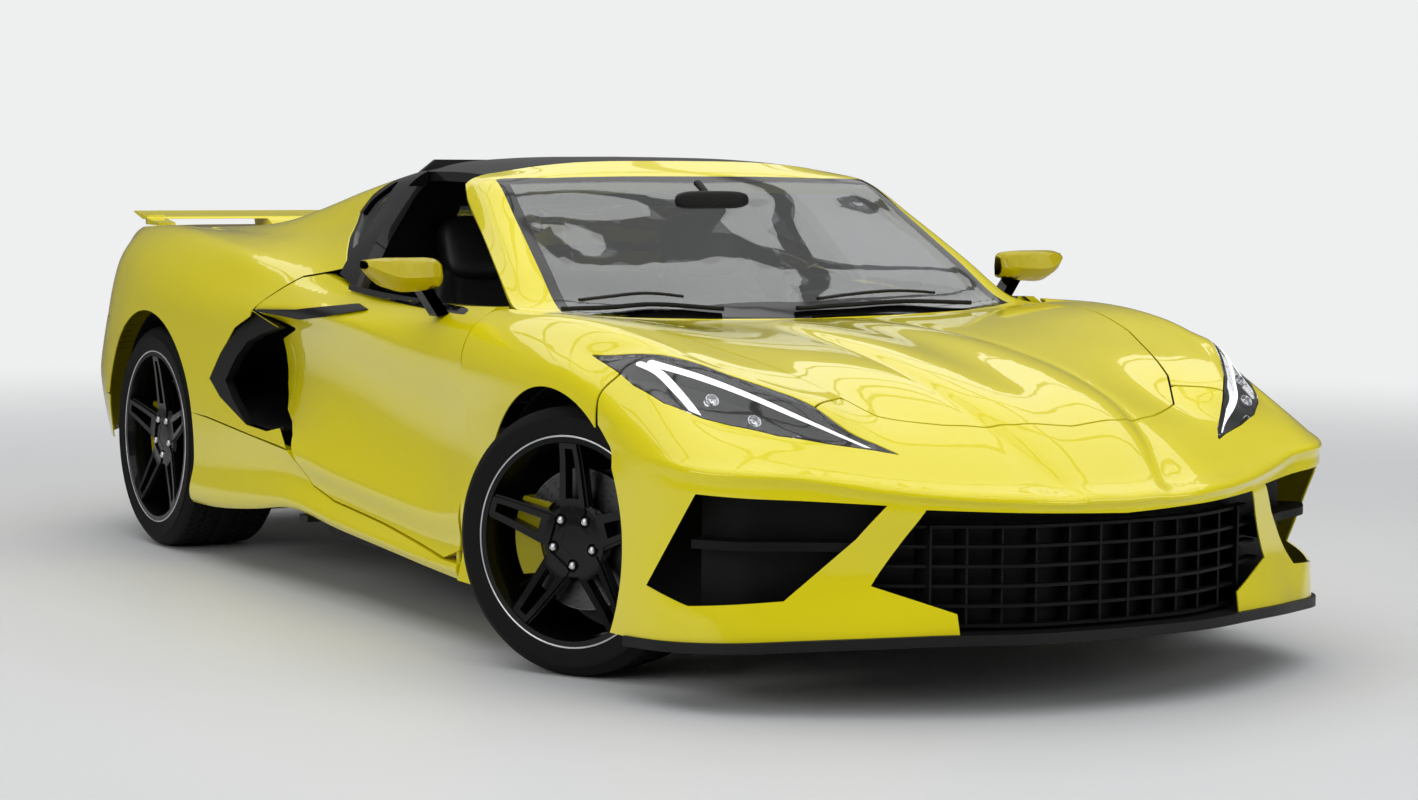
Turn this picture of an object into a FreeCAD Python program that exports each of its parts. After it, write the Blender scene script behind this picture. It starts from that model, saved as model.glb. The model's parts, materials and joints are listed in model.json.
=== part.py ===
"""Mid-engined two-seat sports coupe with a lift-out roof panel.

Sizes in mm. The tables of the body are measured from the ground point under
the front axle: +Y runs to the rear, +X to the car's left, +Z up. The last step
moves everything so that the origin is the middle of the box on the ground.
"""
import math
import os

import FreeCAD
import Part
from FreeCAD import Vector

# Overall sizes
LENGTH = 4630.0
FRONT_OVERHANG = 1040.0
WHEELBASE = 2722.0
SHIFT_Y = FRONT_OVERHANG - LENGTH / 2.0

# Wheels
TRACK_FRONT = 1648.0
TRACK_REAR = 1586.0
FRONT_TYRE_R = 327.0
FRONT_TYRE_W = 245.0
FRONT_RIM_R = 252.0
REAR_TYRE_R = 345.5
REAR_TYRE_W = 305.0
REAR_RIM_R = 264.0
FRONT_ARCH_R = 371.0
REAR_ARCH_R = 396.0
STEER_DEG = 27.7

# Skins
SKIN = 3.0
GAP = 5.0
SEAT = 0.3
LID_THICK = 12.0
HATCH_THICK = 14.0


def V(x, y, z):
    return Vector(x, y, z)


def on_curve(points, s):
    """Point at index s on a smooth curve through the given points."""
    last = len(points) - 1
    i = min(int(s), last - 1)
    f = s - i
    p1 = points[i]
    p2 = points[i + 1]
    p0 = points[i - 1] if i > 0 else p1 * 2 - p2
    p3 = points[i + 2] if i + 2 <= last else p2 * 2 - p1
    d01 = max((p1 - p0).Length, 1e-6)
    d12 = max((p2 - p1).Length, 1e-6)
    d23 = max((p3 - p2).Length, 1e-6)
    m1 = ((p1 - p0) / d01 - (p2 - p0) / (d01 + d12) + (p2 - p1) / d12) * d12
    m2 = ((p2 - p1) / d12 - (p3 - p1) / (d12 + d23) + (p3 - p2) / d23) * d12
    f2 = f * f
    f3 = f2 * f
    a = p1 * (2 * f3 - 3 * f2 + 1)
    b = m1 * (f3 - 2 * f2 + f)
    c = p2 * (-2 * f3 + 3 * f2)
    d = m2 * (f3 - f2)
    return a + b + c + d


def sample(points, count):
    last = len(points) - 1
    return [on_curve(points, last * k / (count - 1.0)) for k in range(count)]


def net(lines, along, across):
    """Grid of points: each line is sampled along, then smoothed across."""
    first = [sample([Vector(*p) for p in line], along) for line in lines]
    columns = [sample([line[k] for line in first], across) for k in range(along)]
    return [[columns[k][j] for k in range(along)] for j in range(across)]


def mirror_net(rows):
    """Both halves of a body net whose first row lies on the middle plane."""
    other = [[V(-p.x, p.y, p.z) for p in row] for row in reversed(rows[1:])]
    return other + rows


def knots(count):
    degree = min(3, count - 1)
    spans = count - degree
    mults = [degree + 1] + [1] * (spans - 1) + [degree + 1]
    return degree, [float(k) for k in range(spans + 1)], mults


def sheet(rows):
    surface = Part.BSplineSurface()
    du, ku, mu = knots(len(rows))
    dv, kv, mv = knots(len(rows[0]))
    surface.buildFromPolesMultsKnots(rows, mu, mv, ku, kv, False, False, du, dv)
    return surface.toShape()


def normals(rows):
    out = []
    n = len(rows)
    m = len(rows[0])
    for i in range(n):
        line = []
        for j in range(m):
            a = rows[min(i + 1, n - 1)][j] - rows[max(i - 1, 0)][j]
            b = rows[i][min(j + 1, m - 1)] - rows[i][max(j - 1, 0)]
            c = a.cross(b)
            line.append(c / max(c.Length, 1e-9))
        out.append(line)
    return out


def moved(rows, ns, depth):
    return [[rows[i][j] - ns[i][j] * depth for j in range(len(rows[0]))] for i in range(len(rows))]


def layer(rows, d0, d1, inward=None):
    """Solid between two depths below a net; inward is a point on the inner side."""
    ns = normals(rows)
    mid = rows[len(rows) // 2][len(rows[0]) // 2]
    nm = ns[len(rows) // 2][len(rows[0]) // 2]
    if inward is not None and nm.dot(Vector(*inward) - mid) > 0:
        ns = [[v * -1 for v in row] for row in ns]
    top = moved(rows, ns, d0)
    low = moved(rows, ns, d1)
    faces = [sheet(top), sheet(low)]
    faces.append(sheet([top[0], low[0]]))
    faces.append(sheet([top[-1], low[-1]]))
    faces.append(sheet([[r[0] for r in top], [r[0] for r in low]]))
    faces.append(sheet([[r[-1] for r in top], [r[-1] for r in low]]))
    shell = Part.makeShell(faces)
    shell.sewShape()
    solid = Part.makeSolid(Part.Shell(shell.Faces))
    if solid.Volume < 0:
        solid.reverse()
    return solid


def above(rows, depth, height=400.0):
    """Everything over a net sunk by a depth, to trim what stands under a skin."""
    ns = normals(rows)
    if ns[len(rows) // 2][len(rows[0]) // 2].z < 0:
        ns = [[v * -1 for v in row] for row in ns]
    return sheet(moved(rows, ns, depth)).extrude(V(0, 0, height))


def wire_of(points, smooth=False):
    if smooth:
        curve = Part.BSplineCurve()
        curve.interpolate(Points=points, PeriodicFlag=True)
        return Part.Wire([curve.toShape()])
    return Part.makePolygon(points + [points[0]])


def grown(face, amount):
    if abs(amount) < 1e-6:
        return face
    return face.makeOffset2D(amount)


def plan(points, z0, z1, grow=0.0, smooth=False):
    """Column over an outline given as (x, y)."""
    face = Part.Face(wire_of([V(x, y, z0) for x, y in points], smooth))
    return grown(face, grow).extrude(V(0, 0, z1 - z0))


def side(points, x0, x1, grow=0.0, smooth=False):
    """Bar along X over an outline given as (y, z)."""
    face = Part.Face(wire_of([V(x0, y, z) for y, z in points], smooth))
    return grown(face, grow).extrude(V(x1 - x0, 0, 0))


def front(points, y0, y1, grow=0.0, smooth=False):
    """Bar along Y over an outline given as (x, z)."""
    face = Part.Face(wire_of([V(x, y0, z) for x, z in points], smooth))
    return grown(face, grow).extrude(V(0, y1 - y0, 0))


def box(x0, x1, y0, y1, z0, z1):
    return Part.makeBox(x1 - x0, y1 - y0, z1 - z0, V(x0, y0, z0))


def tube(a, b, r):
    d = b - a
    return Part.makeCylinder(r, d.Length, a, d)


def ring(x0, x1, r_out, r_in, centre):
    """Ring about a line along X."""
    a = Part.makeCylinder(r_out, x1 - x0, V(x0, centre.y, centre.z), V(1, 0, 0))
    if r_in > 0:
        a = a.cut(Part.makeCylinder(r_in, x1 - x0 + 2, V(x0 - 1, centre.y, centre.z), V(1, 0, 0)))
    return a


def flip(shape):
    return shape.mirror(V(0, 0, 0), V(1, 0, 0))


def pair(shape):
    return Part.makeCompound(shape.Solids + flip(shape).Solids)


def fuse(shapes):
    out = shapes[0].fuse(shapes[1:]) if len(shapes) > 1 else shapes[0]
    return out.removeSplitter()


def biggest(shape):
    return max(shape.Solids, key=lambda s: s.Volume)


def lathe(profile, centre, axis=None):
    """Ring body from (x, r) points, turned about the X line through centre."""
    pts = [V(centre.x + x, centre.y, centre.z + r) for x, r in profile]
    face = Part.Face(Part.makePolygon(pts + [pts[0]]))
    return face.revolve(centre, V(1, 0, 0), 360)


# Body lines, left half

NOSE = [
    [(0, -1040, 482), (0, -985, 517), (0, -933, 557), (0, -860, 609), (0, -720, 677),
     (0, -540, 727), (0, -270, 777), (0, 0, 807), (0, 200, 820), (0, 345, 824)],
    [(102, -1035, 483), (118, -979, 519), (140, -921, 560), (168, -841, 611), (195, -701, 677),
     (202, -527, 730), (195, -267, 780), (175, 0, 809), (140, 200, 820), (100, 345, 824)],
    [(124, -1033, 481), (140, -975, 516), (162, -916, 556), (190, -836, 604), (217, -697, 668),
     (224, -525, 721), (217, -266, 771), (197, 0, 801), (162, 200, 816), (122, 345, 824)],
    [(250, -1012, 487), (248, -955, 522), (246, -895, 562), (245, -820, 606), (245, -690, 668),
     (250, -520, 722), (260, -265, 773), (268, 0, 803), (275, 200, 817), (280, 345, 827)],
    [(440, -930, 497), (436, -880, 530), (432, -825, 565), (428, -755, 608), (430, -640, 660),
     (440, -490, 722), (470, -265, 782), (495, 0, 818), (515, 200, 828), (535, 345, 833)],
    [(590, -842, 515), (589, -795, 548), (588, -745, 580), (587, -700, 610), (585, -645, 680),
     (592, -520, 728), (615, -265, 790), (655, 0, 838), (685, 200, 848), (705, 345, 846)],
    [(705, -774, 536), (704, -733, 562), (703, -690, 590), (702, -625, 625), (708, -481, 745),
     (715, -400, 768), (735, -230, 808), (760, 0, 848), (775, 200, 857), (785, 380, 852)],
    [(825, -722, 544), (822, -680, 568), (818, -618, 602), (812, -505, 652), (806, -320, 786),
     (810, -240, 803), (822, -130, 826), (828, 0, 845), (838, 200, 858), (855, 500, 850)],
    [(903, -642, 546), (900, -598, 572), (896, -512, 616), (889, -335, 700), (886, -200, 760),
     (888, -130, 775), (895, -60, 790), (902, 20, 800), (908, 220, 812), (911, 510, 808)],
    [(942, -460, 566), (940, -430, 590), (937, -372, 624), (937, -296, 665), (941, -220, 700),
     (945, -160, 720), (949, -90, 737), (952, 0, 745), (952, 190, 740), (939, 520, 740)],
]
FENDER = NOSE[4:] + [
    [(944, -400, 500), (944, -370, 520), (944, -330, 550), (946, -270, 580), (949, -200, 610),
     (953, -120, 635), (956, -60, 645), (958, 0, 648), (953, 200, 640), (926, 520, 608)],
    [(948, -400, 420), (948, -370, 430), (948, -330, 440), (950, -270, 450), (952, -200, 470),
     (956, -120, 490), (958, -60, 500), (958, 0, 500), (953, 200, 490), (925, 520, 472)],
    [(950, -400, 300), (950, -370, 310), (950, -330, 320), (952, -270, 330), (954, -200, 340),
     (957, -120, 345), (958, -60, 345), (958, 0, 345), (955, 200, 342), (942, 520, 333)],
    [(948, -400, 230), (948, -370, 235), (948, -330, 240), (950, -270, 250), (952, -200, 260),
     (954, -120, 265), (955, -60, 265), (955, 0, 265), (950, 200, 262), (932, 520, 255)],
    [(952, -400, 160), (952, -370, 160), (952, -330, 160), (954, -270, 160), (956, -200, 160),
     (958, -120, 162), (958, -60, 164), (958, 0, 165), (955, 200, 165), (950, 520, 167)],
]
WRAP = [
    [(0, -1030, 466), (102, -1025, 467), (124, -1023, 467), (250, -1003, 472), (440, -920, 484), (590, -833, 499),
     (705, -764, 516), (825, -714, 524), (903, -634, 527), (943, -452, 546), (943, -308, 556)],
    [(0, -1033, 448), (102, -1028, 449), (124, -1026, 449), (250, -1005, 454), (440, -922, 464), (590, -834, 477),
     (705, -768, 492), (828, -712, 500), (905, -632, 503), (943, -450, 520), (945, -310, 530)],
    [(0, -1018, 400), (102, -1013, 400), (124, -1011, 400), (250, -992, 400), (440, -909, 400), (590, -826, 400),
     (705, -757, 400), (830, -690, 400), (907, -600, 400), (944, -430, 400), (947, -318, 400)],
    [(0, -1008, 300), (102, -1004, 300), (124, -1002, 300), (250, -984, 300), (440, -902, 300), (590, -823, 300),
     (705, -753, 300), (834, -678, 300), (911, -586, 300), (947, -425, 300), (950, -320, 300)],
    [(0, -1012, 240), (102, -1008, 240), (124, -1006, 240), (250, -992, 240), (440, -920, 240), (590, -841, 238),
     (708, -766, 235), (840, -684, 232), (917, -586, 230), (950, -424, 228), (952, -320, 228)],
    [(0, -1020, 190), (102, -1016, 190), (124, -1014, 190), (250, -1000, 190), (440, -932, 188), (590, -860, 182),
     (712, -780, 174), (848, -684, 165), (924, -572, 157), (953, -415, 150), (954, -320, 148)],
]
NOSE_PLAN = [(0, -1030), (250, -1005), (440, -922), (590, -835), (705, -760), (830, -692), (905, -602)]
CORNER = [(942, -300, 575), (942, -280, 592), (942, -255, 612), (944, -225, 635), (946, -190, 655),
          (948, -155, 670), (951, -100, 688), (954, 0, 700), (954, 190, 670), (935, 520, 660)]
SPLITTER = [
    [(0, -1038, 186), (250, -1018, 186), (440, -948, 184), (590, -876, 178), (716, -796, 170),
     (856, -692, 160), (934, -566, 153), (962, -400, 146)],
    [(0, -860, 186), (230, -850, 186), (400, -800, 184), (520, -740, 178), (620, -670, 170),
     (740, -580, 160), (800, -500, 153), (830, -400, 146)],
]
BLADE = [
    [(912, 1180, 845), (916, 1400, 845), (920, 1600, 835), (925, 1900, 810), (938, 2050, 770), (948, 2240, 740)],
    [(926, 1180, 790), (928, 1400, 790), (932, 1600, 785), (942, 1900, 740), (950, 2050, 700), (957, 2240, 650)],
    [(930, 1180, 640), (932, 1400, 640), (938, 1600, 640), (946, 1900, 640), (953, 2050, 620), (959, 2240, 580)],
    [(940, 1180, 410), (942, 1400, 410), (945, 1600, 410), (952, 1900, 420), (957, 2050, 440), (961, 2240, 470)],
]
DOOR = [
    [(838, 480, 862), (838, 700, 854), (838, 950, 850), (840, 1200, 850), (848, 1380, 860),
     (838, 1500, 880), (830, 1620, 897), (818, 1780, 921), (806, 1920, 946)],
    [(855, 480, 850), (858, 700, 842), (860, 950, 838), (862, 1200, 838), (863, 1380, 842),
     (864, 1500, 848), (862, 1620, 862), (862, 1780, 885), (861, 1920, 907)],
    [(910, 480, 809), (908, 700, 800), (907, 950, 800), (907, 1200, 806), (908, 1380, 815),
     (908, 1500, 826), (905, 1620, 836), (906, 1780, 841), (909, 1920, 845)],
    [(940, 480, 740), (932, 700, 742), (926, 950, 762), (926, 1200, 784), (928, 1380, 795),
     (932, 1500, 801), (936, 1620, 800), (942, 1780, 794), (948, 1920, 787)],
    [(936, 480, 680), (926, 700, 684), (920, 950, 704), (916, 1200, 728), (912, 1380, 740),
     (908, 1500, 746), (902, 1620, 748), (892, 1780, 744), (880, 1920, 738)],
    [(922, 480, 600), (905, 700, 600), (898, 950, 616), (894, 1200, 646), (893, 1380, 668),
     (891, 1500, 682), (885, 1620, 690), (872, 1780, 690), (856, 1920, 686)],
    [(920, 480, 472), (899, 700, 478), (893, 950, 492), (890, 1200, 520), (888, 1380, 545),
     (885, 1500, 560), (878, 1620, 568), (862, 1780, 568), (842, 1920, 564)],
    [(930, 480, 400), (915, 700, 386), (912, 950, 396), (915, 1200, 416), (920, 1380, 434),
     (919, 1500, 450), (912, 1620, 464), (893, 1780, 476), (870, 1920, 480)],
    [(942, 480, 335), (935, 700, 318), (935, 950, 330), (938, 1200, 348), (942, 1380, 364),
     (944, 1500, 384), (946, 1620, 400), (950, 1780, 413), (955, 1920, 424)],
    [(932, 480, 256), (922, 700, 245), (918, 950, 258), (919, 1200, 280), (924, 1380, 300),
     (929, 1500, 316), (934, 1620, 330), (941, 1780, 327), (948, 1920, 319)],
    [(950, 480, 186), (950, 700, 195), (949, 950, 210), (950, 1200, 223), (951, 1380, 232),
     (952, 1500, 240), (953, 1620, 243), (954, 1780, 228), (955, 1920, 213)],
]
SILL = [
    [(928, 380, 480), (912, 700, 470), (900, 1000, 480), (905, 1300, 500), (935, 1600, 520),
     (950, 1900, 520), (960, 2200, 530), (966, 2450, 540)],
    [(944, 380, 338), (935, 700, 318), (935, 1000, 333), (939, 1300, 355), (946, 1600, 398),
     (955, 1900, 422), (961, 2200, 436), (966, 2450, 420)],
    [(934, 380, 262), (922, 700, 245), (918, 1000, 262), (920, 1300, 290), (933, 1600, 330),
     (947, 1900, 320), (958, 2200, 305), (963, 2450, 300)],
    [(952, 380, 185), (950, 700, 195), (949, 1000, 212), (950, 1300, 228), (953, 1600, 245),
     (955, 1900, 215), (958, 2200, 188), (962, 2450, 190)],
    [(940, 380, 160), (940, 700, 176), (939, 1000, 194), (940, 1300, 212), (943, 1600, 236),
     (946, 1900, 203), (949, 2200, 178), (952, 2450, 178)],
]
QUARTER = [
    [(500, 1380, 1220), (500, 1500, 1215), (498, 1620, 1198), (490, 1850, 1135), (485, 2150, 1058),
     (480, 2450, 1010), (480, 2750, 988), (490, 3000, 981), (500, 3200, 977), (505, 3300, 976)],
    [(585, 1380, 1190), (590, 1500, 1186), (597, 1620, 1170), (600, 1850, 1135), (600, 2150, 1078),
     (595, 2450, 1028), (595, 2750, 1003), (605, 3000, 992), (625, 3200, 985), (640, 3300, 982)],
    [(700, 1380, 1070), (697, 1500, 1066), (692, 1620, 1052), (692, 1850, 1020), (695, 2150, 1000),
     (690, 2450, 992), (680, 2750, 990), (685, 3000, 990), (700, 3200, 985), (705, 3300, 981)],
    [(800, 1380, 930), (800, 1500, 928), (798, 1620, 930), (798, 1850, 938), (800, 2150, 960),
     (785, 2450, 980), (755, 2750, 993), (738, 3000, 996), (735, 3200, 990), (735, 3300, 984)],
    [(862, 1380, 842), (864, 1500, 848), (862, 1620, 862), (862, 1850, 897), (860, 2150, 943),
     (848, 2450, 970), (822, 2750, 990), (782, 3000, 998), (768, 3200, 991), (758, 3300, 985)],
    [(908, 1380, 815), (908, 1500, 826), (905, 1620, 836), (908, 1850, 843), (916, 2150, 862),
     (925, 2450, 885), (922, 2750, 900), (905, 3000, 905), (868, 3200, 907), (825, 3300, 906)],
    [(928, 1380, 795), (932, 1500, 801), (936, 1620, 800), (945, 1850, 790), (955, 2150, 782),
     (962, 2450, 790), (962, 2750, 800), (942, 3000, 802), (903, 3200, 808), (858, 3300, 808)],
    [(930, 1380, 640), (934, 1500, 640), (940, 1620, 640), (947, 1850, 650), (957, 2150, 660),
     (966, 2450, 690), (967, 2750, 720), (957, 3000, 700), (922, 3200, 700), (885, 3300, 700)],
    [(930, 1380, 500), (934, 1500, 500), (940, 1620, 500), (949, 1850, 510), (958, 2150, 520),
     (966, 2450, 540), (967, 2750, 545), (962, 3000, 540), (937, 3200, 540), (905, 3300, 540)],
    [(940, 1380, 372), (943, 1500, 384), (946, 1620, 400), (953, 1850, 419), (960, 2150, 434),
     (966, 2450, 420), (967, 2750, 410), (963, 3000, 400), (940, 3200, 400), (908, 3300, 400)],
]
TAIL = [
    [(0, 3560, 982), (300, 3558, 982), (540, 3540, 981), (665, 3495, 978), (715, 3430, 977),
     (742, 3370, 980), (758, 3300, 985), (772, 3150, 992), (782, 3000, 998)],
    [(0, 3540, 900), (300, 3537, 900), (550, 3515, 901), (690, 3460, 903), (780, 3370, 905),
     (825, 3300, 906), (860, 3230, 907), (888, 3110, 906), (905, 3000, 905)],
    [(0, 3545, 805), (300, 3542, 805), (550, 3525, 805), (710, 3475, 806), (805, 3390, 807),
     (855, 3310, 808), (890, 3230, 808), (922, 3110, 805), (942, 3000, 802)],
    [(0, 3565, 700), (300, 3562, 700), (560, 3545, 700), (725, 3495, 700), (820, 3410, 700),
     (875, 3325, 700), (910, 3235, 700), (940, 3110, 700), (957, 3000, 700)],
    [(0, 3580, 610), (300, 3577, 610), (565, 3560, 610), (735, 3510, 610), (835, 3425, 610),
     (888, 3335, 610), (922, 3240, 610), (950, 3110, 610), (962, 3000, 610)],
    [(0, 3588, 520), (300, 3585, 520), (570, 3568, 520), (745, 3518, 520), (845, 3435, 520),
     (897, 3343, 520), (928, 3243, 520), (953, 3110, 520), (963, 3000, 520)],
    [(0, 3565, 420), (300, 3562, 420), (565, 3545, 420), (738, 3497, 420), (838, 3415, 420),
     (890, 3328, 420), (922, 3232, 420), (950, 3105, 420), (961, 3000, 420)],
    [(0, 3535, 310), (300, 3532, 310), (555, 3515, 310), (725, 3468, 310), (822, 3388, 310),
     (874, 3303, 310), (908, 3212, 310), (940, 3095, 310), (956, 3000, 310)],
]
HATCH = [
    [(0, 1640, 1233), (0, 1850, 1185), (0, 2150, 1100), (0, 2450, 1035), (0, 2750, 998),
     (0, 3000, 984), (0, 3200, 978), (0, 3400, 978), (0, 3560, 982)],
    [(300, 1640, 1222), (300, 1850, 1172), (300, 2150, 1088), (300, 2450, 1027), (300, 2750, 994),
     (300, 3000, 982), (300, 3200, 977), (300, 3400, 977), (300, 3558, 982)],
    [(500, 1640, 1194), (490, 1850, 1135), (485, 2150, 1058), (480, 2450, 1010), (480, 2750, 988),
     (490, 3000, 981), (500, 3200, 977), (515, 3400, 977), (535, 3541, 981)],
    [(597, 1640, 1167), (600, 1850, 1135), (600, 2150, 1078), (595, 2450, 1028), (595, 2750, 1003),
     (605, 3000, 992), (625, 3200, 985), (645, 3380, 980), (665, 3495, 978)],
]
SCREEN = [
    [(0, 338, 815), (0, 353, 823), (0, 560, 943), (0, 780, 1070), (0, 1000, 1193), (0, 1095, 1229)],
    [(300, 334, 820), (300, 361, 827), (295, 572, 945), (290, 792, 1070), (285, 1003, 1191), (280, 1098, 1225)],
    [(520, 324, 831), (517, 382, 834), (498, 594, 950), (470, 812, 1071), (442, 1010, 1187), (438, 1105, 1213)],
    [(640, 310, 840), (630, 408, 842), (600, 612, 954), (568, 822, 1074), (534, 1019, 1184), (528, 1112, 1200)],
    [(712, 296, 848), (700, 430, 848), (667, 634, 960), (632, 832, 1075), (596, 1028, 1178), (588, 1120, 1188)],
    [(745, 300, 852), (748, 470, 852), (708, 660, 962), (672, 850, 1064), (630, 1050, 1160), (618, 1128, 1176)],
    [(776, 330, 856), (782, 520, 856), (745, 700, 940), (700, 880, 1030), (655, 1070, 1120), (636, 1135, 1160)],
]
ROOF = [
    [(0, 1090, 1228), (0, 1250, 1236), (0, 1400, 1238), (0, 1540, 1236), (0, 1700, 1222)],
    [(300, 1095, 1223), (300, 1250, 1231), (300, 1400, 1232), (300, 1540, 1230), (300, 1700, 1212)],
    [(470, 1105, 1208), (470, 1250, 1215), (470, 1400, 1217), (470, 1540, 1214), (470, 1700, 1192)],
    [(600, 1120, 1180), (597, 1250, 1185), (590, 1400, 1187), (590, 1540, 1183), (590, 1700, 1158)],
]

# Outlines seen from above (x, y)
LID_FRONT = [(150, -793), (300, -728), (430, -642), (505, -520), (560, -380), (635, -190), (690, 30), (712, 200)]
LID_REAR = [(716, 296), (560, 318), (280, 330)]
LID_OUTLINE = [(0, -812)] + LID_FRONT + LID_REAR + [(0, 334)]
LID_OUTLINE = LID_OUTLINE + [(-x, y) for x, y in reversed(LID_OUTLINE) if x > 1]
TUB = [(-280, -540), (280, -540), (294, -510), (294, 225), (-294, 225), (-294, -510)]
LAMP = [(890, -111), (865, -179), (830, -258), (785, -352), (720, -464), (650, -566), (575, -656),
        (495, -737), (462, -782), (505, -753), (600, -697), (690, -634), (770, -552), (810, -500),
        (860, -407), (882, -301), (889, -200)]
NOSE_COVER = [(-1100, -1200), (1100, -1200), (1100, -215), (885, -247), (800, -407), (700, -527), (600, -641),
              (490, -575), (-490, -575), (-600, -641), (-700, -527), (-800, -407), (-885, -247), (-1100, -215)]
WING = [(480, -566), (598, -634), (700, -520), (800, -400), (880, -240), (1100, -208), (1100, 504),
        (790, 504), (780, 420), (745, 296), (500, 290), (450, -500)]
FRAME = [(0, 341), (280, 337), (560, 325), (722, 303), (740, 302), (774, 425), (783, 520), (742, 700),
         (698, 880), (652, 1070), (632, 1125), (560, 1103), (540, 1099), (0, 1099)]
GLASS = [(0, 353), (300, 361), (517, 380), (630, 402), (694, 428), (660, 636), (626, 832), (592, 1020),
         (440, 998), (285, 992), (0, 988)]
QUARTER_PLAN = [(505, 1640), (496, 1850), (491, 2150), (487, 2450), (487, 2700), (520, 2900), (580, 3080),
                (640, 3200), (648, 3300), (1100, 3300), (1100, 1300), (505, 1300)]
HATCH_OUTLINE = [(0, 1662), (495, 1662), (498, 1700), (490, 1850), (485, 2150), (481, 2450), (481, 2700),
                 (514, 2900), (574, 3083), (634, 3203), (642, 3300), (640, 3488), (540, 3522), (300, 3542),
                 (0, 3545)]
HATCH_OUTLINE = HATCH_OUTLINE + [(-x, y) for x, y in reversed(HATCH_OUTLINE) if x > 1]
ROOF_PANEL = [(-560, 1108), (-540, 1104), (540, 1104), (560, 1108), (568, 1130), (566, 1530), (-566, 1530),
              (-568, 1130)]
REAR_GLASS = [(-420, 1740), (420, 1740), (400, 2100), (360, 2480), (-360, 2480), (-400, 2100)]
# Outlines seen from the side (y, z)
DOOR_EDGE = [(510, 900), (510, 735), (510, 656), (513, 521), (513, 396), (530, 240), (607, 213),
             (1014, 256), (1342, 284), (1484, 314), (1580, 374), (1640, 440), (1700, 474), (1790, 502),
             (1850, 570), (1852, 640), (1845, 702), (1704, 734), (1690, 742), (1850, 775), (1880, 786),
             (1735, 884), (1620, 900), (1420, 880), (1200, 870), (900, 868)]
DOOR_HINGE = (917, 560)
DOOR_PIN = 8.0
SILL_EDGE = [(510, 140), (510, 207), (607, 208), (1014, 251), (1342, 279), (1484, 309), (1584, 368),
             (1645, 397), (2218, 444), (2360, 452), (2360, 140)]
BLADE_FRONT = [(1196, 821), (1291, 832), (1588, 801), (1872, 787), (1866, 782), (1588, 772), (1400, 790)]
BLADE_REAR = [(1897, 782), (1902, 765), (2011, 726), (2123, 645), (2204, 564), (2124, 515), (1926, 447),
              (2035, 520), (2085, 566), (2010, 640), (1930, 690), (1840, 716), (1722, 741), (1860, 770)]
SCOOP_HOLE = [(1897, 782), (1902, 765), (2011, 726), (2123, 645), (2204, 564), (2124, 515), (1926, 447),
              (1780, 440), (1700, 455), (1692, 600), (1692, 745), (1860, 776)]
QUARTER_EDGE = [(1640, 1260), (1634, 1192), (1742, 1122), (1768, 1070), (1692, 1000), (1574, 938),
                (1560, 916), (1740, 889),
                (1896, 783), (1692, 745), (1695, 455), (1647, 402), (2218, 449), (2500, 455), (3151, 455),
                (3151, 700), (3300, 700), (3300, 1260)]
PILLAR = [(1400, 868), (1420, 874), (1552, 902), (1568, 941), (1686, 1004), (1760, 1070), (1736, 1118),
          (1629, 1186), (1560, 1250), (1480, 1250), (1500, 1150), (1455, 1000)]
QUARTER_GLASS = [(1578, 985), (1592, 972), (1676, 1016), (1738, 1070), (1720, 1106), (1632, 1162), (1612, 1158)]
# Outlines seen from the front (x, z)
MOUTH = [(0, 455), (466, 471), (566, 297), (400, 236), (396, 100)]
MOUTH = MOUTH + [(-x, z) for x, z in reversed(MOUTH) if x > 1]
MOUTH_GRILLE = [(-480, 480), (480, 480), (580, 290), (410, 190), (-410, 190), (-580, 290)]
INTAKE = [(878, -602, 500), (928, -460, 277), (889, -584, 243), (734, -739, 261), (606, -831, 402),
          (581, -846, 435), (546, -868, 480)]
PLATE = [(-268, 704), (268, 704), (236, 566), (-236, 566)]
VALANCE = [(-500, 290), (500, 290), (462, 436), (-462, 436)]
TAIL_LAMPS = [[(500, 890), (640, 893), (660, 805), (530, 800)], [(668, 894), (880, 905), (878, 812), (690, 806)]]
EXHAUSTS = [[(540, 335), (615, 335), (615, 390), (540, 390)], [(630, 335), (705, 335), (705, 390), (630, 390)]]


def body_nets():
    nets = {}
    nets["nose"] = mirror_net(net(NOSE, 46, 30))
    nets["fender"] = net(FENDER, 46, 38)
    upper = NOSE + [CORNER]
    lines = []
    for k in range(len(upper)):
        lines.append([row[k] for row in reversed(WRAP)] + upper[k])
    nets["fascia"] = mirror_net(net(lines, 66, 34))
    nets["door"] = net(DOOR, 40, 40)
    nets["sill"] = net(SILL, 34, 20)
    nets["quarter"] = net(QUARTER, 44, 40)
    nets["blade"] = net(BLADE, 30, 16)
    nets["tail"] = mirror_net(net([[row[k] for row in TAIL] for k in range(len(TAIL[0]))], 26, 36))
    nets["hatch"] = mirror_net(net(HATCH, 34, 14))
    nets["screen"] = mirror_net(net(SCREEN, 26, 22))
    nets["roof"] = mirror_net(net(ROOF, 20, 14))
    return nets


def arch(centre_y, centre_z, radius, x0=545.0, x1=1100.0):
    return Part.makeCylinder(radius, x1 - x0, V(x0, centre_y, centre_z), V(1, 0, 0))


WHEEL_HOLES = {
    "front_left": arch(0, FRONT_TYRE_R, FRONT_ARCH_R),
    "front_right": arch(0, FRONT_TYRE_R, FRONT_ARCH_R, -1100, -545),
    "rear_left": arch(WHEELBASE, REAR_TYRE_R, REAR_ARCH_R),
    "rear_right": arch(WHEELBASE, REAR_TYRE_R, REAR_ARCH_R, -1100, -545),
}


# Wheels

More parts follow.
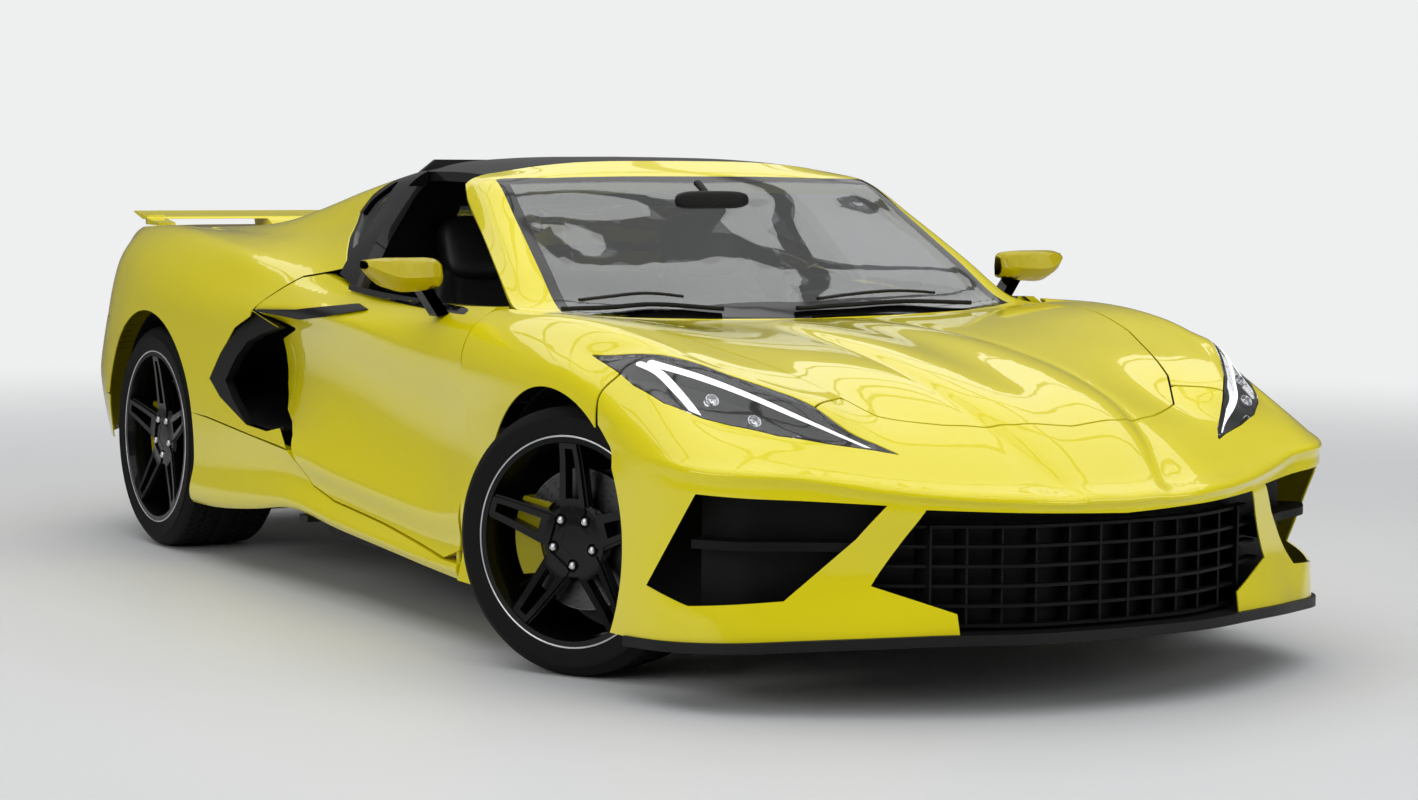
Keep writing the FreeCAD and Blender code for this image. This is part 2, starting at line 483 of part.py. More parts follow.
def build_wheel(sign, axle_y, radius, width, rim_r, track, steer):
    """Rim, tyre and disc of one wheel, built on the left and mirrored for the right."""
    centre = V(track / 2.0, axle_y, radius)
    half = width / 2.0
    bead = half - 14
    tyre = lathe([(-bead, rim_r), (-half + 4, rim_r + 14), (-half, rim_r + 40), (-half + 8, radius - 18),
                  (-half + 26, radius - 3), (-half * 0.4, radius), (half * 0.4, radius),
                  (half - 26, radius - 3), (half - 8, radius - 18), (half, rim_r + 40),
                  (half - 4, rim_r + 14), (bead, rim_r)], centre)
    lip = rim_r + 7.5
    face = half - 2
    barrel = lathe([(-bead, rim_r), (-bead, lip), (-half + 4, lip), (-half + 4, rim_r - 12),
                    (half - 40, rim_r - 20), (face - 4, rim_r - 12), (face - 4, lip), (bead, lip),
                    (bead, rim_r), (half - 45, rim_r - 10), (-half + 30, rim_r - 6)], centre)
    barrel = barrel.cut(tyre)
    hub = lathe([(face - 62, 0), (face - 62, 92), (face - 40, 96), (face - 32, 88), (face - 30, 0)], centre)
    reach = rim_r - 12

    def blade(outline, x0, x1):
        """Five bars of one outline of (side, radius), spread round the hub."""
        bars = []
        for k in range(5):
            t = math.radians(72 * k)
            pts = [V(centre.x + x0, centre.y + y * math.cos(t) - z * math.sin(t),
                     centre.z + y * math.sin(t) + z * math.cos(t)) for y, z in outline]
            bars.append(Part.Face(Part.makePolygon(pts + [pts[0]])).extrude(V(x1 - x0, 0, 0)))
        return bars

    whole = blade([(-44, 66), (-30, 30), (30, 30), (44, 66), (29, reach), (-29, reach)], face - 60, face)
    window = blade([(-19, 102), (19, 102), (11, reach - 16), (-11, reach - 16)], face - 70, face + 10)
    dish = lathe([(face - 60, 0), (face - 60, 60), (face - 40, reach - 2), (face - 5, reach - 2),
                  (face - 14, 200), (face - 28, 90), (face - 24, 40), (face - 24, 0)], centre)
    ridge = blade([(-36, 66), (-32, 62), (32, 62), (36, 66), (23, reach), (-23, reach)], face - 60, face)
    lower = lathe([(face - 60, 0), (face - 60, 60), (face - 40, reach - 2), (face - 11, reach - 2),
                   (face - 20, 200), (face - 34, 90), (face - 30, 40), (face - 30, 0)], centre)
    star = fuse([fuse(whole).common(lower), fuse(ridge).common(dish)]).cut(Part.makeCompound(window))
    rim = fuse([barrel, hub, star])
    bolts = []
    for k in range(5):
        t = math.radians(72 * k + 36)
        bolts.append(V(centre.x + face - 46, centre.y + 60 * math.sin(t), centre.z + 60 * math.cos(t)))
    rim = rim.cut(Part.makeCompound([Part.makeCylinder(16, 60, b, V(1, 0, 0)) for b in bolts]))
    rim = rim.fuse([Part.makeCylinder(10, 16, b - V(2, 0, 0), V(1, 0, 0)) for b in bolts])
    disc_x = centre.x + face - 62
    disc = lathe([(0, 0), (0, 76), (-12, 78), (-12, 172), (-40, 172), (-40, 66), (-8, 62), (-8, 0)],
                 V(disc_x, centre.y, centre.z))
    return [finish_wheel(p, sign, centre, steer) for p in (biggest(rim), tyre, disc)]


def finish_wheel(shape, sign, centre, steer):
    out = shape if sign > 0 else flip(shape)
    if steer:
        out = out.copy()
        out.rotate(V(sign * centre.x, centre.y, 0), V(0, 0, 1), STEER_DEG)
    return out


def build_corner(sign, axle_y, radius, width, track, steer):
    """Knuckle or upright and brake caliper of one wheel."""
    centre = V(track / 2.0, axle_y, radius)
    disc_x = centre.x + width / 2.0 - 64
    kx = centre.x
    post = box(kx - 34, kx + 12, axle_y - 40, axle_y + 40, radius - 134, radius + 134)
    stub = ring(kx, disc_x - 8 - SEAT, 38, 0, centre)
    arm = box(kx - 34, disc_x - 62, axle_y + 40, axle_y + 150, radius - 50, radius + 50)
    knuckle = fuse([post, stub, arm])
    turn = side([(axle_y + 60, radius - 80), (axle_y + 260, radius - 110), (axle_y + 260, radius + 110),
                 (axle_y + 60, radius + 80)], disc_x - 100, disc_x + 20)
    caliper = ring(disc_x - 72, disc_x + 1, 192, 118, centre).common(turn)
    caliper = caliper.cut(ring(disc_x - 44, disc_x - 8, 176, 60, centre))
    caliper = caliper.cut(knuckle)
    return [finish_wheel(p, sign, centre, steer) for p in (knuckle, biggest(caliper))]


def left(nodes, name):
    """The left solid of a node that holds a mirrored pair."""
    return max(nodes[name].Solids, key=lambda s: s.CenterOfMass.x)


def held(bar, panel, root):
    """The length of a bracket from its root up to the panel that it carries."""
    rest = bar.cut(panel)
    probe = Part.Vertex(root)
    return min(rest.Solids, key=lambda s: s.distToShape(probe)[0])


def wheel_skin(y, z, r):
    return ring(540, 940, r + 6, r + 1, V(0, y, z))


def build_chassis(nets, nodes):
    """Floor, tunnel, bulkheads, rails, cradles and brackets as one welded structure."""
    parts = []
    parts.append(box(-790, 790, 430, 1640, 140, 165))
    parts.append(box(-120, 120, 430, 1660, 165, 400).cut(box(-95, 95, 420, 1670, 130, 375)))
    parts.append(box(-720, 720, 430, 455, 165, 700))
    back = front([(-715, 140), (715, 140), (715, 860), (560, 1165), (480, 1225), (-480, 1225), (-560, 1165),
                  (-715, 860)], 1640, 1654)
    back = back.cut(front([(-480, 900), (480, 900), (400, 1090), (-400, 1090)], 1630, 1680))
    parts.append(held(back.cut(nodes["rear_wings"]), nodes["roof_hoop"], V(0, 1650, 500)))
    parts.append(box(-380, 380, -820, -770, 240, 360))
    parts.append(held(box(-200, 200, -960, -815, 280, 320), nodes["nose_grilles"], V(0, -815, 300)))
    parts.append(box(-420, 420, -250, -190, 230, 290))
    parts.append(box(-420, 420, 230, 290, 230, 290))
    parts.append(box(-420, 420, 2440, 2500, 190, 245))
    parts.append(box(-420, 420, 2960, 3020, 190, 245))
    parts.append(box(-700, 700, 3340, 3400, 300, 420))
    parts.append(box(-380, 380, -770, 440, 165, 173))
    over_hatch = above(nets["hatch"], HATCH_THICK + SEAT)
    parts.append(box(-560, 560, 3340, 3346, 400, 1100).cut(over_hatch))
    half = []
    half.append(box(690, 785, 440, 1700, 150, 370))
    sill = left(nodes, "sills")
    for y in (560, 1050, 1500):
        z = 178 if y < 1000 else 206
        half.append(held(box(700, 940, y, y + 60, z, z + 18), sill, V(700, y, z)))
    half.append(held(box(690, 930, 1850, 1910, 206, 226), sill, V(690, 1850, 206)))
    half.append(box(690, 760, 1640, 2270, 206, 226))
    half.append(box(400, 700, 2235, 2265, 206, 226))
    half.append(box(400, 420, 2200, 2265, 206, 310))
    half.append(box(300, 380, -800, 440, 250, 340))
    half.append(box(340, 390, -130, 130, 165, 500))
    half.append(box(330, 420, 1650, 3350, 300, 400))
    half.append(box(380, 430, 2592, 2852, 185, 515))
    for y in (2440, 2960):
        half.append(box(380, 420, y, y + 60, 190, 305))
    for y in (-600, -220, 260):
        half.append(box(325, 355, y - 15, y + 15, 173, 255))
    half.append(held(box(700, 940, 435, 450, 560, 620), left(nodes, "front_wings"), V(700, 440, 590)))
    half.append(box(370, 640, -600, -560, 300, 335))
    post = box(600, 640, -600, -560, 300, 700).cut(left(nodes, "headlamp_lenses"))
    half.append(held(post, left(nodes, "headlamp_housings"), V(620, -580, 300)))
    half.append(box(380, 430, 2700, 2740, 510, 930))
    half.append(held(box(380, 980, 2700, 2740, 905, 930), left(nodes, "rear_wings"), V(400, 2720, 910)))
    half.append(held(box(496, 530, 3390, 3600, 340, 380), nodes["tail_cover"], V(513, 3390, 360)))
    half.append(held(box(180, 220, 3350, 3390, 255, 305), nodes["diffuser"], V(200, 3370, 305)))
    half.append(held(box(600, 640, 360, 432, 400, 430), wheel_skin(0, FRONT_TYRE_R, FRONT_ARCH_R),
                     V(620, 432, 415)))
    half.append(held(box(420, 620, 2290, 2322, 330, 360), wheel_skin(WHEELBASE, REAR_TYRE_R, REAR_ARCH_R),
                     V(420, 2290, 345)))
    bones = parts + half + [flip(h) for h in half]
    frame = bones[0].fuse(bones[1:])
    holes = [Part.makeCylinder(40, 300, V(300, WHEELBASE, REAR_TYRE_R), V(1, 0, 0)),
             Part.makeCylinder(40, 300, V(-600, WHEELBASE, REAR_TYRE_R), V(1, 0, 0))]
    return biggest(frame.cut(holes)).removeSplitter()


def build_arms(centre_y, centre_z, track, inner, spread):
    """Upper and lower arms of one side, ball at the kingpin."""
    out = []
    for level in (-1, 1):
        ball = V(track / 2.0, centre_y, centre_z + level * 150)
        legs = [Part.makeSphere(16, ball)]
        for dy in (-spread, spread):
            legs.append(tube(V(inner, centre_y + dy, centre_z + level * 150), ball, 12))
        out.append(fuse(legs))
    return Part.makeCompound(out)


def slot(points, direction, reach):
    """Bar along a slanting direction over an outline given as 3-D points."""
    d = Vector(*direction)
    d.normalize()
    first = Vector(*points[0])
    flat = [Vector(*p) - d * d.dot(Vector(*p) - first) - d * reach for p in points]
    return Part.Face(Part.makePolygon(flat + [flat[0]])).extrude(d * 2 * reach)


def strip(curve, d0, d1, z0, z1):
    """Upright band that follows a plan curve, between two depths behind it."""
    pts = sample([V(x, y, 0) for x, y in curve], 40)
    near = []
    far = []
    for k in range(len(pts)):
        t = pts[min(k + 1, len(pts) - 1)] - pts[max(k - 1, 0)]
        n = V(-t.y, t.x, 0)
        n.normalize()
        if n.y < 0:
            n = n * -1
        near.append(pts[k] + n * d0)
        far.append(pts[k] + n * d1)
    near = [V(-p.x, p.y, 0) for p in reversed(near[1:])] + near
    far = [V(-p.x, p.y, 0) for p in reversed(far[1:])] + far
    ends = []
    for line in (near, far):
        curve = Part.BSplineCurve()
        curve.interpolate(line)
        ends.append(curve.toShape())
    edges = [ends[0], Part.makeLine(near[-1], far[-1]), ends[1], Part.makeLine(far[0], near[0])]
    face = Part.Face(Part.Wire(Part.__sortEdges__(edges)))
    out = face.extrude(V(0, 0, z1 - z0))
    out.translate(V(0, 0, z0))
    return out


def build_nose(nets, nodes):
    centre = (0, 0, 300)
    lid_col = plan(LID_OUTLINE, 400, 1000)
    nodes["front_lid"] = biggest(layer(nets["nose"], 0, LID_THICK, centre).common(lid_col))
    lid_wide = plan(LID_OUTLINE, 400, 1000, GAP)
    lamp_col = plan(LAMP, 400, 1000)
    lamp_both = Part.makeCompound([plan(LAMP, 400, 1000, 2.0), flip(plan(LAMP, 400, 1000, 2.0))])
    lens = layer(nets["nose"], 0, 3, centre).common(lamp_col)
    bucket = layer(nets["nose"], 3, 60, centre).common(lamp_col)
    pocket = layer(nets["nose"], 3, 40, centre).common(plan(LAMP, 400, 1000, -7.0))
    nodes["headlamp_lenses"] = pair(biggest(lens))
    nodes["headlamp_housings"] = pair(biggest(bucket.cut(pocket)))

    skin = layer(nets["fascia"], 0, 4, centre)
    cover = skin.common(plan(NOSE_COVER, 100, 1000))
    holes = [lid_wide, lamp_both, WHEEL_HOLES["front_left"], WHEEL_HOLES["front_right"]]
    holes.append(front(MOUTH, -1200, -600))
    intake = slot(INTAKE, (0.66, -0.75, 0), 260)
    holes += [intake, flip(intake)]
    cover = cover.cut(holes)
    nodes["nose_cover"] = biggest(cover)

    wing = layer(nets["fender"], 0, SKIN, (600, 100, 300))
    wing = wing.common(plan(WING, 100, 1000))
    wing = wing.cut([lid_wide, lamp_both, WHEEL_HOLES["front_left"]])
    nodes["front_wings"] = pair(biggest(wing))

    liner = strip(NOSE_PLAN, 84, 90, 192.3, 500)
    bars = []
    for z in (200, 245, 290, 335, 380, 425):
        bars.append(strip(NOSE_PLAN, 40, 70, z, z + 7))
    zone = front(MOUTH_GRILLE, -1200, -500)
    for x in range(-440, 441, 80):
        y = -1000 + 150 * (abs(x) / 560.0) ** 1.6
        bars.append(box(x - 3, x + 3, y + 10, y + 84, 200, 432))
    grid = fuse(bars).common(zone)
    vane = strip(NOSE_PLAN, 20, 86, 372, 392).common(box(570, 925, -900, -440, 300, 450))
    rib = held(box(575, 600, -900, -740, 340, 370), nodes["nose_cover"], V(590, -740, 355))
    grilles = fuse([liner, biggest(grid), biggest(vane), flip(biggest(vane)), rib, flip(rib)])
    nodes["nose_grilles"] = biggest(grilles)

    tub = plan(TUB, 290, 900).cut(plan(TUB, 294, 950, -4.0))
    nodes["luggage_tub"] = biggest(tub.cut(above(nets["nose"], LID_THICK + SEAT)))

    rows = mirror_net(net([[row[k] for row in SPLITTER] for k in range(len(SPLITTER[0]))], 6, 30))
    rows = moved(rows, [[V(0, 0, 1)] * len(r) for r in rows], -6)
    nodes["splitter"] = biggest(layer(rows, 0, 24, (0, -700, -500)).cut(nodes["nose_cover"]))


def build_sides(nets, nodes):
    skin = sheet(nets["door"]).extrude(V(-30, 0, 0))
    deep = sheet(moved(nets["door"], [[V(1, 0, 0)] * len(r) for r in nets["door"]], 30)).extrude(V(-65, 0, 0))
    outer = skin.common(side(DOOR_EDGE, 400, 1100))
    inner = deep.common(side(DOOR_EDGE, 400, 1100, -16.0))
    inner = inner.cut(box(0, 795, 0, 3000, 0, 2000))
    pivot = V(DOOR_HINGE[0], DOOR_HINGE[1], 197)
    door = biggest(fuse([outer, inner]).cut(Part.makeCylinder(DOOR_PIN + SEAT, 65, pivot)))
    nodes["left_door"] = door
    nodes["right_door"] = flip(door)
    strip = layer(nets["door"], -7, 0, (500, 1000, 400)).common(side(BLADE_FRONT, 700, 1100))
    strip = biggest(strip)
    nodes["left_door_blade"] = strip
    nodes["right_door_blade"] = flip(strip)

    sill = sheet(nets["sill"]).extrude(V(-40, 0, 0)).common(side(SILL_EDGE, 700, 1100))
    sill = sill.cut([WHEEL_HOLES["front_left"], WHEEL_HOLES["rear_left"]])
    sill = biggest(sill).fuse(Part.makeCylinder(DOOR_PIN, 61, pivot))
    nodes["sills"] = pair(biggest(sill))

    skin = layer(nets["quarter"], 0, SKIN, (500, 2200, 400))
    panel = skin.common(side(QUARTER_EDGE, 300, 1100)).common(plan(QUARTER_PLAN, 300, 1300))
    panel = panel.cut([WHEEL_HOLES["rear_left"], side(BLADE_REAR, 700, 1100), side(SCOOP_HOLE, 700, 1100)])
    nodes["rear_wings"] = pair(biggest(panel))

    blade = layer(nets["blade"], 0, 26, (500, 1900, 600)).common(side(BLADE_REAR, 700, 1100))
    ducts = side(SCOOP_HOLE, 735, 925).cut(side(SCOOP_HOLE, 741, 930, -6.0))
    ducts = ducts.cut([box(600, 1000, 1000, 1712, 300, 900), side(DOOR_EDGE, 780, 1100, GAP + 1.0)])
    ducts = ducts.cut([WHEEL_HOLES["rear_left"], nodes["rear_wings"].Solids[0], sill])
    nodes["intake_blades"] = pair(biggest(fuse([biggest(blade), biggest(ducts)])))


def build_top(nets, nodes):
    centre = (0, 900, 500)
    glass_outline = GLASS + [(-x, y) for x, y in reversed(GLASS) if x > 1]
    frame_outline = FRAME + [(-x, y) for x, y in reversed(FRAME) if x > 1]
    glass = layer(nets["screen"], 0, 6, centre).common(plan(glass_outline, 600, 1300))
    nodes["windscreen"] = biggest(glass)
    frame = layer(nets["screen"], 0, 34, centre).common(plan(frame_outline, 600, 1300))
    frame = frame.cut([nodes["windscreen"], plan(glass_outline, 600, 1300, -24.0)])
    nodes["windscreen_frame"] = biggest(frame)

    roof = layer(nets["roof"], 0, 26, centre)
    panel = roof.common(plan(ROOF_PANEL, 900, 1300))
    nodes["roof_panel"] = biggest(panel)
    bar = layer(nets["roof"], 0, 40, centre).common(
        box(-500, 500, 1535, 1655, 900, 1300).fuse(box(-575, 575, 1535, 1628, 900, 1300)))
    pillar = layer(nets["quarter"], 0, 34, (300, 1500, 700)).common(side(PILLAR, 400, 1000))
    window = side(QUARTER_GLASS, 400, 1000)
    pillar = pillar.cut([window, plan(ROOF_PANEL, 900, 1300, GAP)])
    pillar = pillar.cut(box(0, 560, 0, 3000, 0, 2000))
    ledge = layer(nets["roof"], 26 + SEAT, 40, centre).common(box(-300, 300, 1500, 1545, 900, 1300))
    hoop = fuse([bar, biggest(ledge), biggest(pillar), flip(biggest(pillar))])
    nodes["roof_hoop"] = biggest(hoop)
    pane = layer(nets["quarter"], 8, 14, (300, 1500, 700)).common(window)
    nodes["quarter_glass"] = pair(biggest(pane))

    skin = layer(nets["hatch"], 0, HATCH_THICK, (0, 2400, 500))
    hatch = skin.common(plan(HATCH_OUTLINE, 700, 1300))
    glass = layer(nets["hatch"], 0, 6, (0, 2400, 500)).common(plan(REAR_GLASS, 700, 1300))
    nodes["rear_glass"] = biggest(glass)
    hatch = hatch.cut([nodes["rear_glass"], plan(REAR_GLASS, 700, 1300, -22.0)])
    nodes["rear_hatch"] = biggest(hatch)

    wing_side = [(3432, 1006), (3440, 1013), (3556, 1031), (3568, 1027), (3480, 1004)]
    wing = side(wing_side, -700, 700)
    legs = []
    for s in (1, -1):
        outline = [(s * 640, 3330), (s * 700, 3330), (s * 705, 3420), (s * 690, 3480), (s * 655, 3500),
                   (s * 635, 3500)]
        legs.append(plan(outline, 988, 1020).cut(side([(3300, 1100), (3300, 992), (3440, 1010),
                                                        (3440, 1100)], -900, 900)))
    middle = side([(3380, 960), (3380, 984), (3440, 1010), (3560, 1030), (3562, 1026), (3540, 960)], -270, 270)
    spoiler = fuse([wing, middle] + legs)
    spoiler = spoiler.cut([skin.common(plan(HATCH_OUTLINE, 700, 1300)), Part.makeCompound(nodes["rear_wings"].Solids)])
    below = sheet(nets["hatch"]).extrude(V(0, 0, -200))
    nodes["spoiler"] = biggest(spoiler.cut(below))


def build_tail(nets, nodes):
    skin = layer(nets["tail"], 0, 4, (0, 2900, 600))
    cover = skin.common(box(-1100, 1100, 3156, 3700, 200, 696).fuse(
        [box(850, 1100, 3040, 3160, 300, 450), box(-1100, -850, 3040, 3160, 300, 450),
         box(-1100, 1100, 3305, 3700, 690, 1100)]))
    lamp_cols = [front(o, 3305, 3700) for o in TAIL_LAMPS]
    lamp_cols += [flip(c) for c in lamp_cols]
    tip_cols = [front(o, 3300, 3700, 4.0) for o in EXHAUSTS]
    tip_cols += [flip(c) for c in tip_cols]
    holes = lamp_cols + tip_cols + [WHEEL_HOLES["rear_left"], WHEEL_HOLES["rear_right"]]
    plate = front(PLATE, 3300, 3700)
    tray = layer(nets["tail"], 0, 20, (0, 2900, 600)).common(front(PLATE, 3300, 3700, 4.0))
    tray = tray.cut(layer(nets["tail"], -2, 16, (0, 2900, 600)).common(plate))
    cover = biggest(cover.cut(holes + [plate, front(VALANCE, 3300, 3700, 3.0)]))
    nodes["tail_cover"] = biggest(cover.fuse(biggest(tray)))
    thick = layer(nets["tail"], 0, 30, (0, 2900, 600))
    lamps = []
    for c in lamp_cols:
        lamps.append(biggest(thick.common(c)))
    nodes["tail_lamps"] = Part.makeCompound(lamps)
    tips = []
    for o in EXHAUSTS:
        tip = front(o, 3400, 3555).cut(front(o, 3420, 3600, -5.0))
        tips += [tip, flip(tip)]
    nodes["exhaust_tips"] = Part.makeCompound([t.Solids[0] for t in tips])
    valance = biggest(layer(nets["tail"], 0, 6, (0, 2900, 600)).common(front(VALANCE, 3300, 3700)))
    floor = side([(3115, 213), (3115, 225), (3300, 262), (3450, 292), (3450, 284), (3300, 252)], -600, 600)
    fins = []
    for x in (-430, -215, 0, 215, 430):
        fin = side([(3140, 212), (3300, 250), (3440, 300), (3440, 400), (3600, 400), (3600, 300), (3528, 262),
                    (3300, 205)], x - 5, x + 5)
        fins.append(held(fin, valance, V(x, 3300, 240)))
    fins.append(valance)
    nodes["diffuser"] = biggest(fuse([floor] + fins))


def build_cabin(nodes):
    dash = side([(455, 540), (455, 780), (500, 800), (640, 812), (740, 800), (800, 740), (805, 660),
                 (740, 540)], -700, 700)
    nodes["dashboard"] = dash
    column = tube(V(370, 745, 640), V(370, 900, 690), 30)
    hub = Part.makeCylinder(55, 30, V(370, 895, 690), V(0, 0.95, 0.31))
    wheel = Part.makeTorus(165, 15, V(370, 915, 697), V(0, 0.95, 0.31))
    spokes = [box(210, 530, 905, 925, 682, 706)]
    wheel = fuse([column.cut(dash), hub, wheel] + spokes)
    nodes["steering_wheel"] = biggest(wheel)
    console = box(-110, 110, 810, 1560, 400, 560).cut(box(-60, 60, 1150, 1500, 520, 600))
    riser = side([(806, 400), (806, 700), (900, 560), (900, 400)], -110, 110)
    nodes["console"] = fuse([console, riser])
    seats = []
    for s in (-1, 1):
        cushion = side([(950, 165), (950, 350), (1000, 375), (1380, 330), (1420, 165)], s * 370 - 240, s * 370 + 240)
        back = side([(1300, 300), (1330, 480), (1480, 920), (1560, 980), (1600, 960), (1560, 700),
                     (1460, 300), (1380, 220)], s * 370 - 230, s * 370 + 230)
        head = box(s * 370 - 130, s * 370 + 130, 1510, 1598, 900, 1050)
        seats.append(fuse([cushion, back, head]))
    nodes["seats"] = Part.makeCompound(seats)
    nodes["powertrain"] = fuse([box(-330, 330, 1750, 2420, 250, 760), box(-200, 200, 2400, 2950, 250, 480)])
    cowl = side([(352, 765), (352, 785), (420, 800), (455, 790), (455, 700), (430, 700), (425, 765)], -715, 715)
    nodes["cowl"] = biggest(cowl.cut(nodes["windscreen_frame"]))


def build_mirror(nets, nodes):
    stations = [(884, 752, 908, 962, 20, 0.7), (900, 748, 897, 974, 40, 0.85), (960, 742, 893, 980, 56, 1.0),
                (1035, 744, 899, 980, 58, 1.0), (1068, 750, 922, 978, 50, 0.9), (1096, 758, 950, 972, 30, 0.7)]
    wires = []
    for x, y, low, high, ry, box_in in stations:
        mid = (low + high) / 2.0
        rz = (high - low) / 2.0
        pts = [V(x, y - ry, mid - 0.15 * rz), V(x, y - 0.62 * ry, mid + 0.78 * rz), V(x, y - 0.1 * ry, high),
               V(x, y + 0.75 * ry, high - 0.1 * rz), V(x, y + 0.9 * ry, mid), V(x, y + 0.8 * ry, low + 0.12 * rz),
               V(x, y - 0.25 * ry, low), V(x, y - 0.8 * ry, mid - 0.62 * rz)]
        wires.append(wire_of(pts))
    shell = Part.makeLoft(wires, True, False)
    foot = front([(866, 830), (902, 826), (955, 905), (925, 912)], 728, 778)
    mirror = fuse([shell, foot])
    mirror = mirror.cut(nodes["left_door"])
    mirror = biggest(mirror)
    nodes["left_mirror"] = mirror
    nodes["right_mirror"] = flip(mirror)


def build_liners():
    """Wheel arch liners of both axles."""
    out = []
    rows = ((0, FRONT_TYRE_R, FRONT_ARCH_R, 545, 900), (WHEELBASE, REAR_TYRE_R, REAR_ARCH_R, 560, 900))
    for y, z, r, x0, x1 in rows:
        c = V(0, y, z)
        shell = ring(x0, x1, r + 6, r + 1, c)
        out.append(biggest(shell.cut(box(0, 1200, y - 600, y + 600, -300, 200))))
    return pair(Part.makeCompound(out))


def build_all():
    nodes = {}
    nets = body_nets()
    build_nose(nets, nodes)
    build_sides(nets, nodes)
    build_top(nets, nodes)
    build_tail(nets, nodes)
    build_cabin(nodes)
    build_mirror(nets, nodes)
    for name, sign in (("left", 1), ("right", -1)):
        rim, tyre, disc = build_wheel(sign, 0, FRONT_TYRE_R, FRONT_TYRE_W, FRONT_RIM_R, TRACK_FRONT, True)
        nodes["front_%s_rim" % name] = rim
        nodes["front_%s_tyre" % name] = tyre
        nodes["front_%s_disc" % name] = disc
        knuckle, caliper = build_corner(sign, 0, FRONT_TYRE_R, FRONT_TYRE_W, TRACK_FRONT, True)
        nodes["front_%s_knuckle" % name] = knuckle
        nodes["front_%s_caliper" % name] = caliper
        rim, tyre, disc = build_wheel(sign, WHEELBASE, REAR_TYRE_R, REAR_TYRE_W, REAR_RIM_R, TRACK_REAR, False)
        nodes["rear_%s_rim" % name] = rim
        nodes["rear_%s_tyre" % name] = tyre
        nodes["rear_%s_disc" % name] = disc
    left = build_corner(1, WHEELBASE, REAR_TYRE_R, REAR_TYRE_W, TRACK_REAR, False)
    nodes["rear_uprights"] = pair(left[0])
    nodes["rear_calipers"] = pair(left[1])
    front_arms = build_arms(0, FRONT_TYRE_R, TRACK_FRONT, 393.5, 110)
    nodes["front_suspension_arms"] = pair(front_arms)
    rear_arms = build_arms(WHEELBASE, REAR_TYRE_R, TRACK_REAR, 433.5, 110)
    nodes["rear_suspension_arms"] = pair(rear_arms)
    shaft = tube(V(200, WHEELBASE, REAR_TYRE_R), V(TRACK_REAR / 2 - 34, WHEELBASE, REAR_TYRE_R), 17)
    nodes["drive_shafts"] = pair(shaft)
    nodes["wheel_liners"] = build_liners()
    nodes["chassis"] = build_chassis(nets, nodes)
    return nodes


def write_parts(nodes):
    os.makedirs("parts", exist_ok=True)
    for old in os.listdir("parts"):
        os.remove(os.path.join("parts", old))
    for name, shape in nodes.items():
        out = shape.copy()
        out.translate(V(0, SHIFT_Y, 0))
        out.exportStep("parts/%s.step" % name)


if __name__ == "__main__":
    write_parts(build_all())
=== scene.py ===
"""Finish of a low two-seat sports coupe: paint, glass, lamps, wheels, cabin and studio.

Lengths are in metres, +Y to the tail, +X to the car's left, +Z up.
"""
import json
import math
from functools import cached_property

import bpy
import numpy as np
from mathutils import Matrix, Vector
from mathutils.bvhtree import BVHTree


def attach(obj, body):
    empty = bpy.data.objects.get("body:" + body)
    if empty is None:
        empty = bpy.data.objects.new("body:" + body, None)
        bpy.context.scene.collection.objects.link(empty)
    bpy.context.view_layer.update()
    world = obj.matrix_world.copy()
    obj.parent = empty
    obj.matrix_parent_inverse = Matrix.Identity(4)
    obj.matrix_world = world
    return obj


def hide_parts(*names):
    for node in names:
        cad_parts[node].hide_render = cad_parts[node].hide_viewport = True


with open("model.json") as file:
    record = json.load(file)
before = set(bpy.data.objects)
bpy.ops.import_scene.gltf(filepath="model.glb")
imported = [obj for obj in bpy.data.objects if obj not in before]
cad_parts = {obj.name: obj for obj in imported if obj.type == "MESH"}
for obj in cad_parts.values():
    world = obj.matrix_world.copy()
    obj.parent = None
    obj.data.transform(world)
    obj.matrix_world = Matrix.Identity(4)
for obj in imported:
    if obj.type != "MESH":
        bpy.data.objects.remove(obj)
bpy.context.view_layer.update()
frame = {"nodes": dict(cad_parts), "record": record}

bl_info = {
    "name": "Sports coupe finish",
    "version": (1, 0, 0),
    "blender": (4, 5, 0),
    "location": "View3D > Sidebar > Coupe",
    "description": "Dresses a packed two-seat sports coupe with paint, glass, lamps, wheels and a cabin",
    "category": "Object",
}

# Hub centres on the left side, the front wheels' turn at rest, and each side's sign of X
AXLE_FRONT = Vector((0.824, -1.275, 0.327))
AXLE_REAR = Vector((0.793, 1.447, 0.3455))
STEER = math.radians(27.7)
SIDES = {"left": 1, "right": -1}

# Places clear of the car, on its side, over it and behind it, where rays to its skin start
BESIDE = 1.4
OVER = 3.0
BEHIND = 3.2


# Sizes and colours a user would change

COLOUR = {"subtype": "COLOR", "size": 3, "min": 0, "max": 1}


class CoupeColours(bpy.types.PropertyGroup):
    """Colours of the paint, the trim and the hide"""
    body: bpy.props.FloatVectorProperty(
        name="Body paint", description="Colour of the painted panels", default=(0.84, 0.73, 0.0), **COLOUR)
    roof: bpy.props.FloatVectorProperty(
        name="Roof paint", description="Colour of the roof and hoop", default=(0.006, 0.006, 0.007), **COLOUR)
    trim: bpy.props.FloatVectorProperty(
        name="Trim", description="Colour of moulded trim", default=(0.0035, 0.0035, 0.004), **COLOUR)
    hide: bpy.props.FloatVectorProperty(
        name="Leather", description="Colour of seats and door cards", default=(0.012, 0.012, 0.013), **COLOUR)


